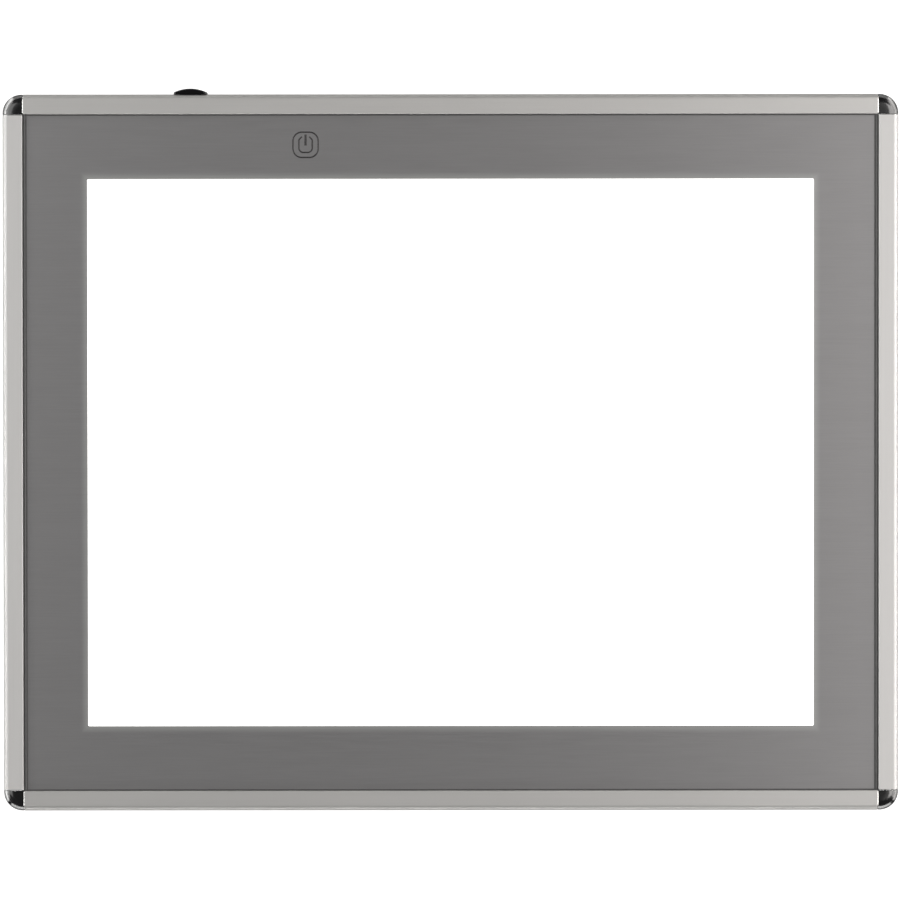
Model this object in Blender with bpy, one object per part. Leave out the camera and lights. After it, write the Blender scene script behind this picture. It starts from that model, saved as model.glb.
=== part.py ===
"""Edge-lit light box for tracing: a slim pad with a 12 x 9 inch lit window.

Metres, +Z up. The pad lies on the table with its lit face up, its long side along X and its
power inlet at the rear, +Y. The origin is on the table, under the middle of the outline.

An aluminium rim of four C-shaped rails clamps a sandwich of flat layers. Corner caps plug into
the rails' ends and are screwed to them from below. Light from two strips of LEDs enters the
long edges of a clear light guide, and a touch key on the bezel switches it.
"""

import math

import bmesh
import bpy
from mathutils import Matrix, Vector

MM = 0.001

# Driving dimensions
BODY_X = 375 * MM  # outline of the rim, left to right
BODY_Y = 300 * MM  # outline of the rim, front to rear
BODY_T = 8 * MM  # thickness of the rim
FOOT_PROUD = 1.5 * MM  # the feet hold the rim this far above the table
WINDOW_X = 304 * MM  # lit area, nominally 12 by 9 inches
WINDOW_Y = 229 * MM
GAP = 0.1 * MM  # hairline gap between pieces that touch
SNUG = 0.3 * MM  # looser gap round pieces that drop into a recess

# Rail section: a C with its open side inwards
LIP = 8.4 * MM  # width of the lips, and of the corner caps
LIP_T = 1.0 * MM
WALL_T = 1.4 * MM
RIM_ROUND = 1.5 * MM  # outer edges, top and bottom
LIP_CHAMFER = 0.5 * MM
LIP_BITE = 3.0 * MM  # how far the lips reach over the sandwich
CAP_R = 7.9 * MM  # corner radius in plan
TONGUE_L = 22 * MM
TONGUE_W = 3.4 * MM

# Layers of the sandwich: height of each one's underside above the rim's underside
COVER_T = 1.0 * MM
SHEET_T = 0.2 * MM
GUIDE_T = 2.0 * MM
PANEL_T = 1.4 * MM
COVER_Z = LIP_T + GAP
REFLECTOR_Z = COVER_Z + COVER_T + GAP
GUIDE_Z = REFLECTOR_Z + SHEET_T + GAP
DIFFUSER_Z = GUIDE_Z + GUIDE_T + GAP
TAPE_Z = DIFFUSER_Z + SHEET_T + GAP
PANEL_Z = TAPE_Z + SHEET_T + GAP
OVERLAY_Z = PANEL_Z + PANEL_T + GAP
GASKET_Z = OVERLAY_Z + SHEET_T + GAP
GASKET_T = 0.6 * MM
GASKET_SIDE_W = 1.65 * MM  # beads along the left and right rails
GASKET_END_W = 0.5 * MM  # thinner beads along the front and rear rails

# Outlines of the layers
STACK_X = BODY_X - 2 * (LIP - LIP_BITE)
STACK_Y = BODY_Y - 2 * (LIP - LIP_BITE)
STACK_R = 1.0 * MM  # corner radius
GUIDE_X = 320 * MM
GUIDE_Y = 239 * MM
WELL_X = GUIDE_X + 0.8 * MM  # opening of the mid frame round the light guide
WELL_Y = GUIDE_Y + 5.0 * MM
SHEET_X = WELL_X - 2 * GAP
SHEET_Y = WELL_Y - 2 * SNUG
MID_T = TAPE_Z - GAP - REFLECTOR_Z
TAPE_MARGIN = 1.1 * MM  # from the panel's edge to the tape
TAPE_W = 9.5 * MM

# LED strips
STRIP_L = 300 * MM
STRIP_T = 1.0 * MM
LED_COUNT = 24
LED_L = 3.0 * MM
LED_H = 1.4 * MM
LED_T = 0.7 * MM

# Corner screws: M2 countersunk, driven upwards into the caps' tongues
SCREW_R = 1.0 * MM
SCREW_HEAD_R = 1.7 * MM
SCREW_L = 5.0 * MM
SCREW_SUNK = 0.05 * MM  # head below the rim's underside
SCREW_IN = 3.4 * MM  # from the rim's outer face
SCREW_PAST_CAP = 10 * MM  # from the cap, along the rail
SCREW_SIDES = 12
RECESS_ARM = 1.0 * MM  # cross recess: reach of its arms, their width and depth
RECESS_W = 0.4 * MM
RECESS_DEPTH = 0.8 * MM

# Power inlet, in the rear rail
INLET_X = -108.8 * MM
INLET_Z = BODY_T / 2
INLET_W = 13.9 * MM
INLET_H = 6.6 * MM
INLET_PROUD = 2.4 * MM
INLET_SKIRT = 0.7 * MM  # straight edge under the dome
INLET_ROUND = 0.8 * MM
INLET_BORE_R = 2.1 * MM
NECK_W = 9.0 * MM
NECK_H = 5.0 * MM
JACK_W = 6.4 * MM
JACK_H = 5.0 * MM
JACK_BACK = 8.1 * MM  # from the rim's outer face to the back of the jack
JACK_WALL = 1.1 * MM  # behind the socket
SOCKET_R = 1.85 * MM  # for a plug of 3.5 mm
PIN_R = 0.65 * MM  # and its hole of 1.35 mm
JACK_TAIL = 1.0 * MM  # solder tails of the pin and the contact, behind the jack
CONTACT_X = -2.7 * MM  # the contact leaf, left of the socket's axis
CONTACT_T = 0.25 * MM
CONTACT_W = 1.2 * MM
CONTACT_SETBACK = 0.7 * MM
NOTCH_W = 12 * MM  # notches in the layers' rear edges, under the lips
NOTCH_D = LIP_BITE + 0.2 * MM

# Touch key, seen from above
KEY_X = -60.6 * MM
KEY_Y = 128.8 * MM
ELECTRODE_R = 4.5 * MM
SPRING_R = 1.9 * MM
SPRING_WIRE_R = 0.15 * MM
SPRING_TURNS = 2.5

# Control board and its pocket in the mid frame
BOARD_X0 = -91 * MM
BOARD_X1 = -34 * MM
BOARD_Y0 = 127 * MM
BOARD_Y1 = 141 * MM
BOARD_T = 0.8 * MM
BOARD_Z = COVER_Z + COVER_T + 2 * GAP
CHIP_Z = BOARD_Z + BOARD_T + GAP
CHIP_T = 1.4 * MM  # also the height of the other parts on the board
CHIP_X = 4.9 * MM
CHIP_BODY_Y = 3.9 * MM
CHIP_LEG = 1.0 * MM
CHIP_Y = 134 * MM
POCKET_MARGIN = 0.9 * MM
CONNECTOR_X0 = BOARD_X0 + 1 * MM
CONNECTOR_X1 = CONNECTOR_X0 + 5 * MM
CONNECTOR_HALF_W = 2.2 * MM

# Wires, the jack's bay and the grooves in the mid frame
WIRE_R = 0.5 * MM
WIRE_BEND = 1.5 * MM
GROOVE_W = 2.0 * MM
GROOVE_Z = REFLECTOR_Z + 1.0 * MM
WIRE_Z = GROOVE_Z + 0.8 * MM
JACK_BAY_Y = 134.5 * MM
POWER_PLUG_Y = 137.5 * MM
LED_GROOVE_X = -172 * MM
LED_GROOVE_Y = 131 * MM
LED_PLUG_Y = 129.9 * MM
STRIP_END_X = -STRIP_L / 2 - 1.6 * MM
REAR_DROP_X = -96 * MM
REAR_GROOVE_Y = 128.7 * MM

# Feet and label
FOOT_R = 6 * MM
FOOT_X = 150 * MM
FOOT_Y = 115 * MM
FOOT_ROUND = 0.4 * MM
LABEL_X = 52 * MM
LABEL_Y = 24 * MM
LABEL_T = 0.1 * MM


CORNERS = (("front_left", -1, -1), ("front_right", 1, -1), ("rear_right", 1, 1), ("rear_left", -1, 1))


def clear_scene():
    for obj in list(bpy.data.objects):
        bpy.data.objects.remove(obj)


def linear(hex_colour):
    """Turns a screen colour such as "c0c0c0" into Blender's linear RGBA."""
    channels = [int(hex_colour[i : i + 2], 16) / 255 for i in (0, 2, 4)]
    curve = [c / 12.92 if c <= 0.04045 else ((c + 0.055) / 1.055) ** 2.4 for c in channels]
    return (*curve, 1.0)


def material(name, hex_colour, roughness, metallic=0.0):
    mat = bpy.data.materials.new(name)
    mat.use_nodes = True
    shader = mat.node_tree.nodes["Principled BSDF"]
    shader.inputs["Base Color"].default_value = linear(hex_colour)
    shader.inputs["Roughness"].default_value = roughness
    shader.inputs["Metallic"].default_value = metallic
    return mat


def add(name, bm, at=(0, 0, 0), turn=0.0):
    """Makes an object of a bmesh and hangs it on the pad's centre, at `at`, turned about Z."""
    bmesh.ops.recalc_face_normals(bm, faces=bm.faces)
    mesh = bpy.data.meshes.new(name)
    bm.to_mesh(mesh)
    bm.free()
    return place(name, mesh, at, turn)


def place(name, mesh, at=(0, 0, 0), turn=0.0):
    obj = bpy.data.objects.new(name, mesh)
    bpy.context.scene.collection.objects.link(obj)
    obj.parent = bpy.data.objects["pad_centre"]
    obj.location = at
    obj.rotation_euler = (0, 0, turn)
    return obj


def boolean(obj, tool, operation="DIFFERENCE"):
    """Cuts or joins obj with tool, keeps the result as its mesh and drops the tool."""
    modifier = obj.modifiers.new("boolean", "BOOLEAN")
    modifier.operation = operation
    modifier.object = tool
    modifier.solver = "EXACT"
    graph = bpy.context.evaluated_depsgraph_get()
    obj.data = bpy.data.meshes.new_from_object(obj.evaluated_get(graph))
    obj.modifiers.clear()
    bpy.data.objects.remove(tool)


def smooth(obj, angle=35):
    obj.data.shade_smooth()
    obj.data.set_sharp_from_angle(angle=math.radians(angle))


def prism(outline, bottom, height):
    """Stands a closed outline of (x, y) points up as a solid."""
    bm = bmesh.new()
    base = [bm.verts.new((x, y, bottom)) for x, y in outline]
    top = [bm.verts.new((x, y, bottom + height)) for x, y in outline]
    bm.faces.new(base)
    bm.faces.new(top)
    for i in range(len(base)):
        j = (i + 1) % len(base)
        bm.faces.new((base[i], base[j], top[j], top[i]))
    return bm


def loft(rings):
    """Skins a stack of closed rings of 3D points and closes the two ends."""
    bm = bmesh.new()
    skins = [[bm.verts.new(point) for point in ring] for ring in rings]
    bm.faces.new(skins[0])
    bm.faces.new(skins[-1])
    for lower, upper in zip(skins, skins[1:]):
        for i in range(len(lower)):
            j = (i + 1) % len(lower)
            bm.faces.new((lower[i], lower[j], upper[j], upper[i]))
    return bm


def disc_rings(profile, sides):
    """Rings round Z for a turned shape, from (radius, height) points."""
    turns = [2 * math.pi * (i + 0.5) / sides for i in range(sides)]
    return [[(r * math.cos(t), r * math.sin(t), z) for t in turns] for r, z in profile]


def cuboid(x0, x1, y0, y1, z0, z1):
    return prism([(x0, y0), (x1, y0), (x1, y1), (x0, y1)], z0, z1 - z0)


def block(name, x0, x1, y0, y1, z0, z1):
    """A box given by its faces, with its origin at its centre."""
    centre = Vector(((x0 + x1) / 2, (y0 + y1) / 2, (z0 + z1) / 2))
    bm = cuboid(x0, x1, y0, y1, z0, z1)
    bm.transform(Matrix.Translation(-centre))
    return add(name, bm, centre)


def arc(centre, radius, start, end, steps):
    """Points of an arc, with its ends, at angles in degrees."""
    angles = [math.radians(start + (end - start) * i / steps) for i in range(steps + 1)]
    return [(centre[0] + radius * math.cos(a), centre[1] + radius * math.sin(a)) for a in angles]


def rounded_rectangle(size_x, size_y, radius, steps=3):
    outline = []
    for quarter, (sx, sy) in enumerate(((1, 1), (-1, 1), (-1, -1), (1, -1))):
        centre = (sx * (size_x / 2 - radius), sy * (size_y / 2 - radius))
        outline += arc(centre, radius, 90 * quarter, 90 * quarter + 90, steps)
    return outline


def layer(name, size_x, size_y, z, thickness, radius=STACK_R):
    """A flat sheet, centred on the pad."""
    return add(name, prism(rounded_rectangle(size_x, size_y, radius), 0, thickness), (0, 0, z))


def open_window(obj, size_x, size_y, radius=STACK_R / 2):
    """Cuts a rectangular opening right through a centred layer."""
    outline = rounded_rectangle(size_x, size_y, radius)
    boolean(obj, add("window_cut", prism(outline, -BODY_T, 3 * BODY_T)))


def notch_for_inlet(obj):
    """Clears the rear edge of a layer for the jack, hidden under the lips."""
    x0 = INLET_X - NOTCH_W / 2
    rear = STACK_Y / 2
    boolean(obj, block("notch", x0, x0 + NOTCH_W, rear - NOTCH_D, rear + SNUG, 0, BODY_T))


def screw_hole(name, at):
    """Clearance for one corner screw: a countersink with a straight hole above it."""
    profile = [
        (SCREW_HEAD_R + 2 * GAP, -GAP),
        (SCREW_R + GAP, SCREW_HEAD_R - SCREW_R),
        (SCREW_R + GAP, SCREW_SUNK + SCREW_L + SNUG),
    ]
    return add(name, loft(disc_rings(profile, SCREW_SIDES)), at)


def rail_section():
    """(distance in from the outer face, height) points round the C."""
    top = BODY_T
    return [
        (LIP, 0),
        (LIP, LIP_T),
        (WALL_T, LIP_T),
        (WALL_T, top - LIP_T),
        (LIP, top - LIP_T),
        (LIP, top - LIP_CHAMFER),
        (LIP - LIP_CHAMFER, top),
        *arc((RIM_ROUND, top - RIM_ROUND), RIM_ROUND, 90, 180, 3),
        *arc((RIM_ROUND, RIM_ROUND), RIM_ROUND, 180, 270, 3),
    ]


def make_rail(name, side, turn, mat):
    """One rail: outer face `side` from the centre, inwards along its own +Y before turning."""
    span = BODY_X if turn % math.pi == 0 else BODY_Y
    half = span / 2 - LIP - GAP
    section = rail_section()
    rings = [[(x, inward - side, z) for inward, z in section] for x in (-half, half)]
    rail = add(name, loft(rings))
    for x in (-1, 1):
        at = (x * (span / 2 - LIP - SCREW_PAST_CAP), SCREW_IN - side, 0)
        boolean(rail, screw_hole("screw_hole", at))
    if name == "rail_rear":
        wide, high = NECK_W / 2 + 2 * GAP, NECK_H / 2 + 2 * GAP
        slot = cuboid(-wide, wide, -2 * WALL_T, 2 * WALL_T, -high, high)
        boolean(rail, add("inlet_slot", slot, (-INLET_X, -side, INLET_Z)))
    rail.rotation_euler = (0, 0, turn)
    smooth(rail)
    rail.data.materials.append(mat)


def make_cap_mesh():
    """A corner cap with its outer corner at the origin and its tongues along +X and +Y."""
    rounding = arc((RIM_ROUND, RIM_ROUND), RIM_ROUND, 270, 180, 3)
    heights = rounding + [(inset, BODY_T - z) for inset, z in reversed(rounding)]
    rings = []
    for inset, z in heights:
        outline = [(LIP, LIP), (inset, LIP)]
        outline += arc((CAP_R, CAP_R), CAP_R - inset, 180, 270, 6)
        outline += [(LIP, inset)]
        rings.append([(x, y, z) for x, y in outline])
    cap = add("cap_blank", loft(rings))
    pocket = LIP - LIP_BITE - SNUG
    past = LIP + GAP
    cut = cuboid(pocket, past, pocket, past, LIP_T, BODY_T - LIP_T)
    boolean(cap, add("pocket", cut))
    near, far = WALL_T + 2 * GAP, WALL_T + 2 * GAP + TONGUE_W
    end = LIP + TONGUE_L
    low, high = LIP_T + 2 * GAP, BODY_T - LIP_T - 2 * GAP
    boolean(cap, add("tongue", cuboid(far - GAP, end, near, far, low, high)), "UNION")
    boolean(cap, add("tongue", cuboid(near, far, far - 2 * GAP, end, low, high)), "UNION")
    along = LIP + SCREW_PAST_CAP
    boolean(cap, screw_hole("screw_hole", (along, SCREW_IN, 0)))
    boolean(cap, screw_hole("screw_hole", (SCREW_IN, along, 0)))
    smooth(cap)
    mesh = cap.data
    bpy.data.objects.remove(cap)
    return mesh


def make_screw_mesh():
    """A countersunk screw standing on its head, with a cross recess."""
    cone = SCREW_HEAD_R - SCREW_R
    tip = SCREW_L - SCREW_R / 2
    profile = [(SCREW_HEAD_R, 0), (SCREW_R, cone), (SCREW_R, tip), (SCREW_R / 2, SCREW_L)]
    screw = add("screw_blank", loft(disc_rings(profile, SCREW_SIDES)))
    half = RECESS_W / 2
    arm = [Vector((RECESS_ARM, -half)), Vector((RECESS_ARM, half)), Vector((half, half))]
    cross = [Matrix.Rotation(q * math.pi / 2, 2) @ point for q in range(4) for point in arm]
    boolean(screw, add("cross_recess", prism(cross, -GAP, RECESS_DEPTH + GAP)))
    smooth(screw)
    mesh = screw.data
    bpy.data.objects.remove(screw)
    return mesh


def make_rim():
    """Four rails, four corner caps and the eight screws that hold them together."""
    anodised = material("anodised_aluminium", "c2c0bd", 0.35, 1.0)
    make_rail("rail_front", BODY_Y / 2, 0, anodised)
    make_rail("rail_right", BODY_X / 2, math.pi / 2, anodised)
    make_rail("rail_rear", BODY_Y / 2, math.pi, anodised)
    make_rail("rail_left", BODY_X / 2, 3 * math.pi / 2, anodised)

    cap_mesh = make_cap_mesh()
    cap_mesh.materials.append(material("gloss_black_plastic", "151517", 0.12))
    screw_mesh = make_screw_mesh()
    screw_mesh.materials.append(material("black_oxide_steel", "2c2c2e", 0.4, 1.0))
    near = LIP + SCREW_PAST_CAP
    for quarter, (corner, sx, sy) in enumerate(CORNERS):
        at = (sx * BODY_X / 2, sy * BODY_Y / 2, 0)
        place(f"corner_cap_{corner}", cap_mesh, at, quarter * math.pi / 2)
        on_long = (sx * (BODY_X / 2 - near), sy * (BODY_Y / 2 - SCREW_IN), SCREW_SUNK)
        on_side = (sx * (BODY_X / 2 - SCREW_IN), sy * (BODY_Y / 2 - near), SCREW_SUNK)
        place(f"corner_screw_{2 * quarter + 1}", screw_mesh, on_long)
        place(f"corner_screw_{2 * quarter + 2}", screw_mesh, on_side)


def make_gasket():
    """A rubber bead on the bezel, against the inner edges of the lips."""
    outer_x = BODY_X / 2 - LIP - GAP
    outer_y = BODY_Y / 2 - LIP - GAP
    shoulder = 0.6 * GASKET_T
    section = [(0, 0), (0, shoulder), (0.3, GASKET_T), (0.7, GASKET_T), (1, shoulder), (1, 0)]
    bm = bmesh.new()
    loops = []
    for _, sx, sy in CORNERS:
        corner = []
        for across, up in section:
            x = sx * (outer_x - across * GASKET_SIDE_W)
            y = sy * (outer_y - across * GASKET_END_W)
            corner.append(bm.verts.new((x, y, up)))
        loops.append(corner)
    for i in range(4):
        here, there = loops[i], loops[(i + 1) % 4]
        for k in range(len(section)):
            m = (k + 1) % len(section)
            bm.faces.new((here[k], here[m], there[m], there[k]))
    gasket = add("panel_gasket", bm, (0, 0, GASKET_Z))
    gasket.data.materials.append(material("black_rubber", "1b1b1c", 0.6))


def make_panel():
    """The opal panel, the metal-effect film on it and the tape ring under it."""
    panel = layer("front_panel", STACK_X, STACK_Y, PANEL_Z, PANEL_T)
    notch_for_inlet(panel)
    panel.data.materials.append(material("opal_acrylic", "fbfbf8", 0.15))

    overlay = layer("bezel_overlay", STACK_X, STACK_Y, OVERLAY_Z, SHEET_T)
    open_window(overlay, WINDOW_X, WINDOW_Y)
    overlay.data.materials.append(material("brushed_metal_film", "7c7a79", 0.4, 0.6))

    tape_x = STACK_X - 2 * TAPE_MARGIN
    tape_y = STACK_Y - 2 * TAPE_MARGIN
    tape = layer("panel_tape", tape_x, tape_y, TAPE_Z, SHEET_T)
    open_window(tape, tape_x - 2 * TAPE_W, tape_y - 2 * TAPE_W)
    notch_for_inlet(tape)
    tape.data.materials.append(material("foam_tape", "232325", 0.9))


def make_optics():
    """Reflector, light guide and diffuser, lying in the mid frame's opening."""
    white = material("white_polyester_film", "f4f4f2", 0.5)
    layer("reflector_sheet", SHEET_X, SHEET_Y, REFLECTOR_Z, SHEET_T).data.materials.append(white)
    layer("diffuser_sheet", SHEET_X, SHEET_Y, DIFFUSER_Z, SHEET_T).data.materials.append(white)
    guide = layer("light_guide", GUIDE_X, GUIDE_Y, GUIDE_Z, GUIDE_T)
    guide.data.materials.append(material("clear_acrylic", "e6f0f0", 0.05))


def make_mid_frame():
    """A moulded ring round the light guide, with a pocket for the board and wire grooves."""
    frame = layer("mid_frame", STACK_X, STACK_Y, REFLECTOR_Z, MID_T)
    open_window(frame, WELL_X, WELL_Y)
    notch_for_inlet(frame)
    over = TAPE_Z + SNUG
    left, right = BOARD_X0 - POCKET_MARGIN, BOARD_X1 + POCKET_MARGIN
    low, high = BOARD_Y0 - POCKET_MARGIN, BOARD_Y1 + POCKET_MARGIN
    boolean(frame, block("pocket", left, right, low, high, 0, over))
    inlet_left = INLET_X - NOTCH_W / 2 - GROOVE_W
    boolean(frame, block("jack_bay", inlet_left, left + SNUG, JACK_BAY_Y, high - SNUG, 0, over))
    half = GROOVE_W / 2
    for (x0, y0), (x1, y1) in (
        ((LED_GROOVE_X, LED_GROOVE_Y), (left + SNUG, LED_GROOVE_Y)),
        ((LED_GROOVE_X, -LED_GROOVE_Y), (LED_GROOVE_X, LED_GROOVE_Y)),
        ((LED_GROOVE_X, -LED_GROOVE_Y), (STRIP_END_X, -LED_GROOVE_Y)),
        ((STRIP_END_X, -LED_GROOVE_Y), (STRIP_END_X, -WELL_Y / 2 + half + SNUG)),
        ((REAR_DROP_X, WELL_Y / 2 - half - SNUG), (REAR_DROP_X, REAR_GROOVE_Y)),
        ((REAR_DROP_X, REAR_GROOVE_Y), (left + SNUG, REAR_GROOVE_Y)),
    ):
        groove = block("groove", x0 - half, x1 + half, y0 - half, y1 + half, GROOVE_Z, over)
        boolean(frame, groove)
    frame.data.materials.append(material("black_abs", "202022", 0.55))


def make_led_strip(name, side, mat):
    """A standing metal-core board with its LEDs facing the light guide."""
    pitch = STRIP_L / LED_COUNT
    face = GUIDE_Y / 2 + 2 * GAP + LED_T
    half = STRIP_L / 2
    strip = block(name, -half, half, face, face + STRIP_T, GUIDE_Z, GUIDE_Z + GUIDE_T)
    middle = GUIDE_Z + GUIDE_T / 2
    for i in range(LED_COUNT):
        x = (i + 0.5) * pitch - half
        y0, y1 = face - LED_T, face + STRIP_T / 2
        z0, z1 = middle - LED_H / 2, middle + LED_H / 2
        boolean(strip, block("led", x - LED_L / 2, x + LED_L / 2, y0, y1, z0, z1), "UNION")
    if side < 0:
        strip.rotation_euler = (0, 0, math.pi)
        strip.location.y *= -1
    strip.data.materials.append(mat)


def make_chip(name, x, y, mat):
    """A small-outline chip: a moulded body with four legs on either side."""
    half_x, half_y = CHIP_X / 2, CHIP_BODY_Y / 2
    raised = 0.1 * MM
    body = cuboid(-half_x, half_x, -half_y, half_y, raised, CHIP_T)
    chip = add(name, body, (x, y, CHIP_Z))
    reach = half_y + CHIP_LEG
    half_leg = 0.2 * MM
    for i in range(4):
        leg_x = x - half_x + (i + 0.5) * CHIP_X / 4
        foot = cuboid(-half_leg, half_leg, -reach, reach, 0, CHIP_T / 4)
        boolean(chip, add("legs", foot, (leg_x, y, CHIP_Z)), "UNION")
    chip.data.materials.append(mat)


def make_spring():
    """The coil that carries the touch signal up from the board."""
    per_turn = 14
    count = int(SPRING_TURNS * per_turn)
    rise = TAPE_Z - CHIP_Z - 2 * SPRING_WIRE_R
    spots = []
    for i in range(count + 1):
        angle = 2 * math.pi * i / per_turn
        z = SPRING_WIRE_R + rise * i / count
        spots.append((SPRING_R * math.cos(angle), SPRING_R * math.sin(angle), z))
    bronze = material("phosphor_bronze", "b98d5a", 0.3, 1.0)
    at = (KEY_X, BOARD_Y0 + SPRING_R + 1 * MM, CHIP_Z)
    make_tube("touch_spring", spots, SPRING_WIRE_R, bronze, at, 1)


def make_tube(name, points, radius, mat, at=(0, 0, 0), resolution=2):
    """A round wire through the points, as a curve with closed ends."""
    curve = bpy.data.curves.new(name, "CURVE")
    curve.dimensions = "3D"
    curve.bevel_depth = radius
    curve.bevel_resolution = resolution
    curve.use_fill_caps = True
    spline = curve.splines.new("POLY")
    spline.points.add(len(points) - 1)
    for point, spot in zip(spline.points, points):
        point.co = (*Vector(spot).to_3d(), 1)
    curve.materials.append(mat)
    return place(name, curve, at)


def rounded_route(corners, radius, steps=4):
    """Rounds the corners of a level route with arcs that touch both runs."""
    route = [Vector(corners[0])]
    for before, here, after in zip(corners, corners[1:], corners[2:]):
        here = Vector(here)
        back = (Vector(before) - here).normalized()
        on = (Vector(after) - here).normalized()
        half_angle = back.angle(on) / 2
        cut = radius / math.tan(half_angle)
        centre = here + (back + on).normalized() * (radius / math.sin(half_angle))
        start = (here + back * cut - centre).normalized()
        end = (here + on * cut - centre).normalized()
        route += [centre + start.slerp(end, i / steps) * radius for i in range(steps + 1)]
    return route + [Vector(corners[-1])]


def make_electronics():
    """The control board with what is soldered to it, and the touch electrode above it."""
    edges = BOARD_X0, BOARD_X1, BOARD_Y0, BOARD_Y1
    board = block("control_board", *edges, BOARD_Z, BOARD_Z + BOARD_T)
    board.data.materials.append(material("green_circuit_board", "1f5a3a", 0.4))
    epoxy = material("chip_epoxy", "1c1c1e", 0.5)
    make_chip("touch_chip", KEY_X + 8 * MM, CHIP_Y, epoxy)
    make_chip("driver_chip", KEY_X - 10 * MM, CHIP_Y, epoxy)
    core = prism(rounded_rectangle(5 * MM, 5 * MM, 1 * MM), 0, CHIP_T)
    inductor = add("power_inductor", core, (KEY_X - 18 * MM, CHIP_Y, CHIP_Z))
    inductor.data.materials.append(material("ferrite", "3a3a3d", 0.7))
    brick = prism(rounded_rectangle(3.5 * MM, 2.8 * MM, 0.3 * MM, 1), 0, CHIP_T)
    capacitor = add("filter_capacitor", brick, (KEY_X - 3 * MM, CHIP_Y + 3.4 * MM, CHIP_Z))
    capacitor.data.materials.append(material("tantalum_orange", "c8862c", 0.45))
    nylon = material("white_nylon", "ecebe4", 0.5)
    for name, y in (("power_connector", POWER_PLUG_Y), ("led_connector", LED_PLUG_Y)):
        y0, y1 = y - CONNECTOR_HALF_W, y + CONNECTOR_HALF_W
        plug = block(name, CONNECTOR_X0, CONNECTOR_X1, y0, y1, CHIP_Z, CHIP_Z + CHIP_T)
        plug.data.materials.append(nylon)
    make_spring()
    electrode = loft(disc_rings([(ELECTRODE_R, 0), (ELECTRODE_R, GAP)], 24))
    pad = add("touch_electrode", electrode, (KEY_X, KEY_Y, PANEL_Z - 2 * GAP))
    pad.data.materials.append(material("copper", "b8683c", 0.3, 1.0))


def dome_outline(inset):
    """Plan of the inlet's boss: an arc on a short straight skirt, shrunk by inset."""
    half = INLET_W / 2 - inset
    rise = INLET_PROUD - GAP - INLET_SKIRT - inset
    ball = (half**2 + rise**2) / (2 * rise)
    spread = math.degrees(math.asin(half / ball))
    curve = arc((0, INLET_SKIRT + rise - ball), ball, 90 - spread, 90 + spread, 10)
    return [(-half, 0), (half, 0), *curve]


def make_inlet():
    """The domed bezel on the rear rail, with the jack, its centre pin and its contact."""
    rear = BODY_Y / 2
    rounding = arc((INLET_ROUND, INLET_ROUND), INLET_ROUND, 270, 180, 3)
    heights = rounding + [(inset, INLET_H - z) for inset, z in reversed(rounding)]
    rings = [[(x, y, z - INLET_H / 2) for x, y in dome_outline(inset)] for inset, z in heights]
    bezel = add("jack_bezel", loft(rings), (INLET_X, rear + GAP, INLET_Z))
    neck = cuboid(-NECK_W / 2, NECK_W / 2, -WALL_T - 2 * GAP, 2 * GAP, -NECK_H / 2, NECK_H / 2)
    boolean(bezel, add("neck", neck, (INLET_X, rear, INLET_Z)), "UNION")
    boolean(bezel, bar_along_y("bore", INLET_BORE_R, rear - 2 * WALL_T, rear + 2 * INLET_PROUD, 16))
    smooth(bezel)
    black = material("gloss_black_inlet", "141416", 0.15)
    bezel.data.materials.append(black)

    back, front = rear - JACK_BACK, rear - WALL_T - 3 * GAP
    sides = INLET_X - JACK_W / 2, INLET_X + JACK_W / 2
    jack = block("jack_body", *sides, back, front, INLET_Z - JACK_H / 2, INLET_Z + JACK_H / 2)
    boolean(jack, bar_along_y("socket", SOCKET_R, back + JACK_WALL, front + SNUG, 16))
    boolean(jack, bar_along_y("pin_hole", PIN_R + GAP, back - SNUG, front, 12))
    slot_x = sides[0] - SNUG, INLET_X - SOCKET_R + SNUG
    slot_y = back - SNUG, front - CONTACT_SETBACK
    half_slot = CONTACT_W / 2 + 2 * GAP
    boolean(jack, block("contact_slot", *slot_x, *slot_y, INLET_Z - half_slot, INLET_Z + half_slot))
    jack.data.materials.append(black)

    pin = bar_along_y("jack_pin", PIN_R, back - JACK_TAIL, front - SNUG, 12)
    smooth(pin)
    nickel = material("nickel_plated_brass", "c9c4b4", 0.25, 1.0)
    pin.data.materials.append(nickel)
    bent = SOCKET_R + SNUG
    leaf = [(CONTACT_X, -JACK_TAIL), (CONTACT_X, 2.2 * MM), (-bent, 3.8 * MM), (CONTACT_X, 5 * MM)]
    outline = [(x - CONTACT_T / 2, y) for x, y in leaf]
    outline += [(x + CONTACT_T / 2, y) for x, y in reversed(leaf)]
    strip = prism(outline, -CONTACT_W / 2, CONTACT_W)
    contact = add("jack_spring_contact", strip, (INLET_X, back, INLET_Z))
    contact.data.materials.append(nickel)


def bar_along_y(name, radius, y0, y1, sides):
    """A round bar through the inlet's axis, from y0 to y1."""
    bar = loft(disc_rings([(radius, 0), (radius, y1 - y0)], sides))
    bar.transform(Matrix.Rotation(-math.pi / 2, 4, "X"))
    return add(name, bar, (INLET_X, y0, INLET_Z))


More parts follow.
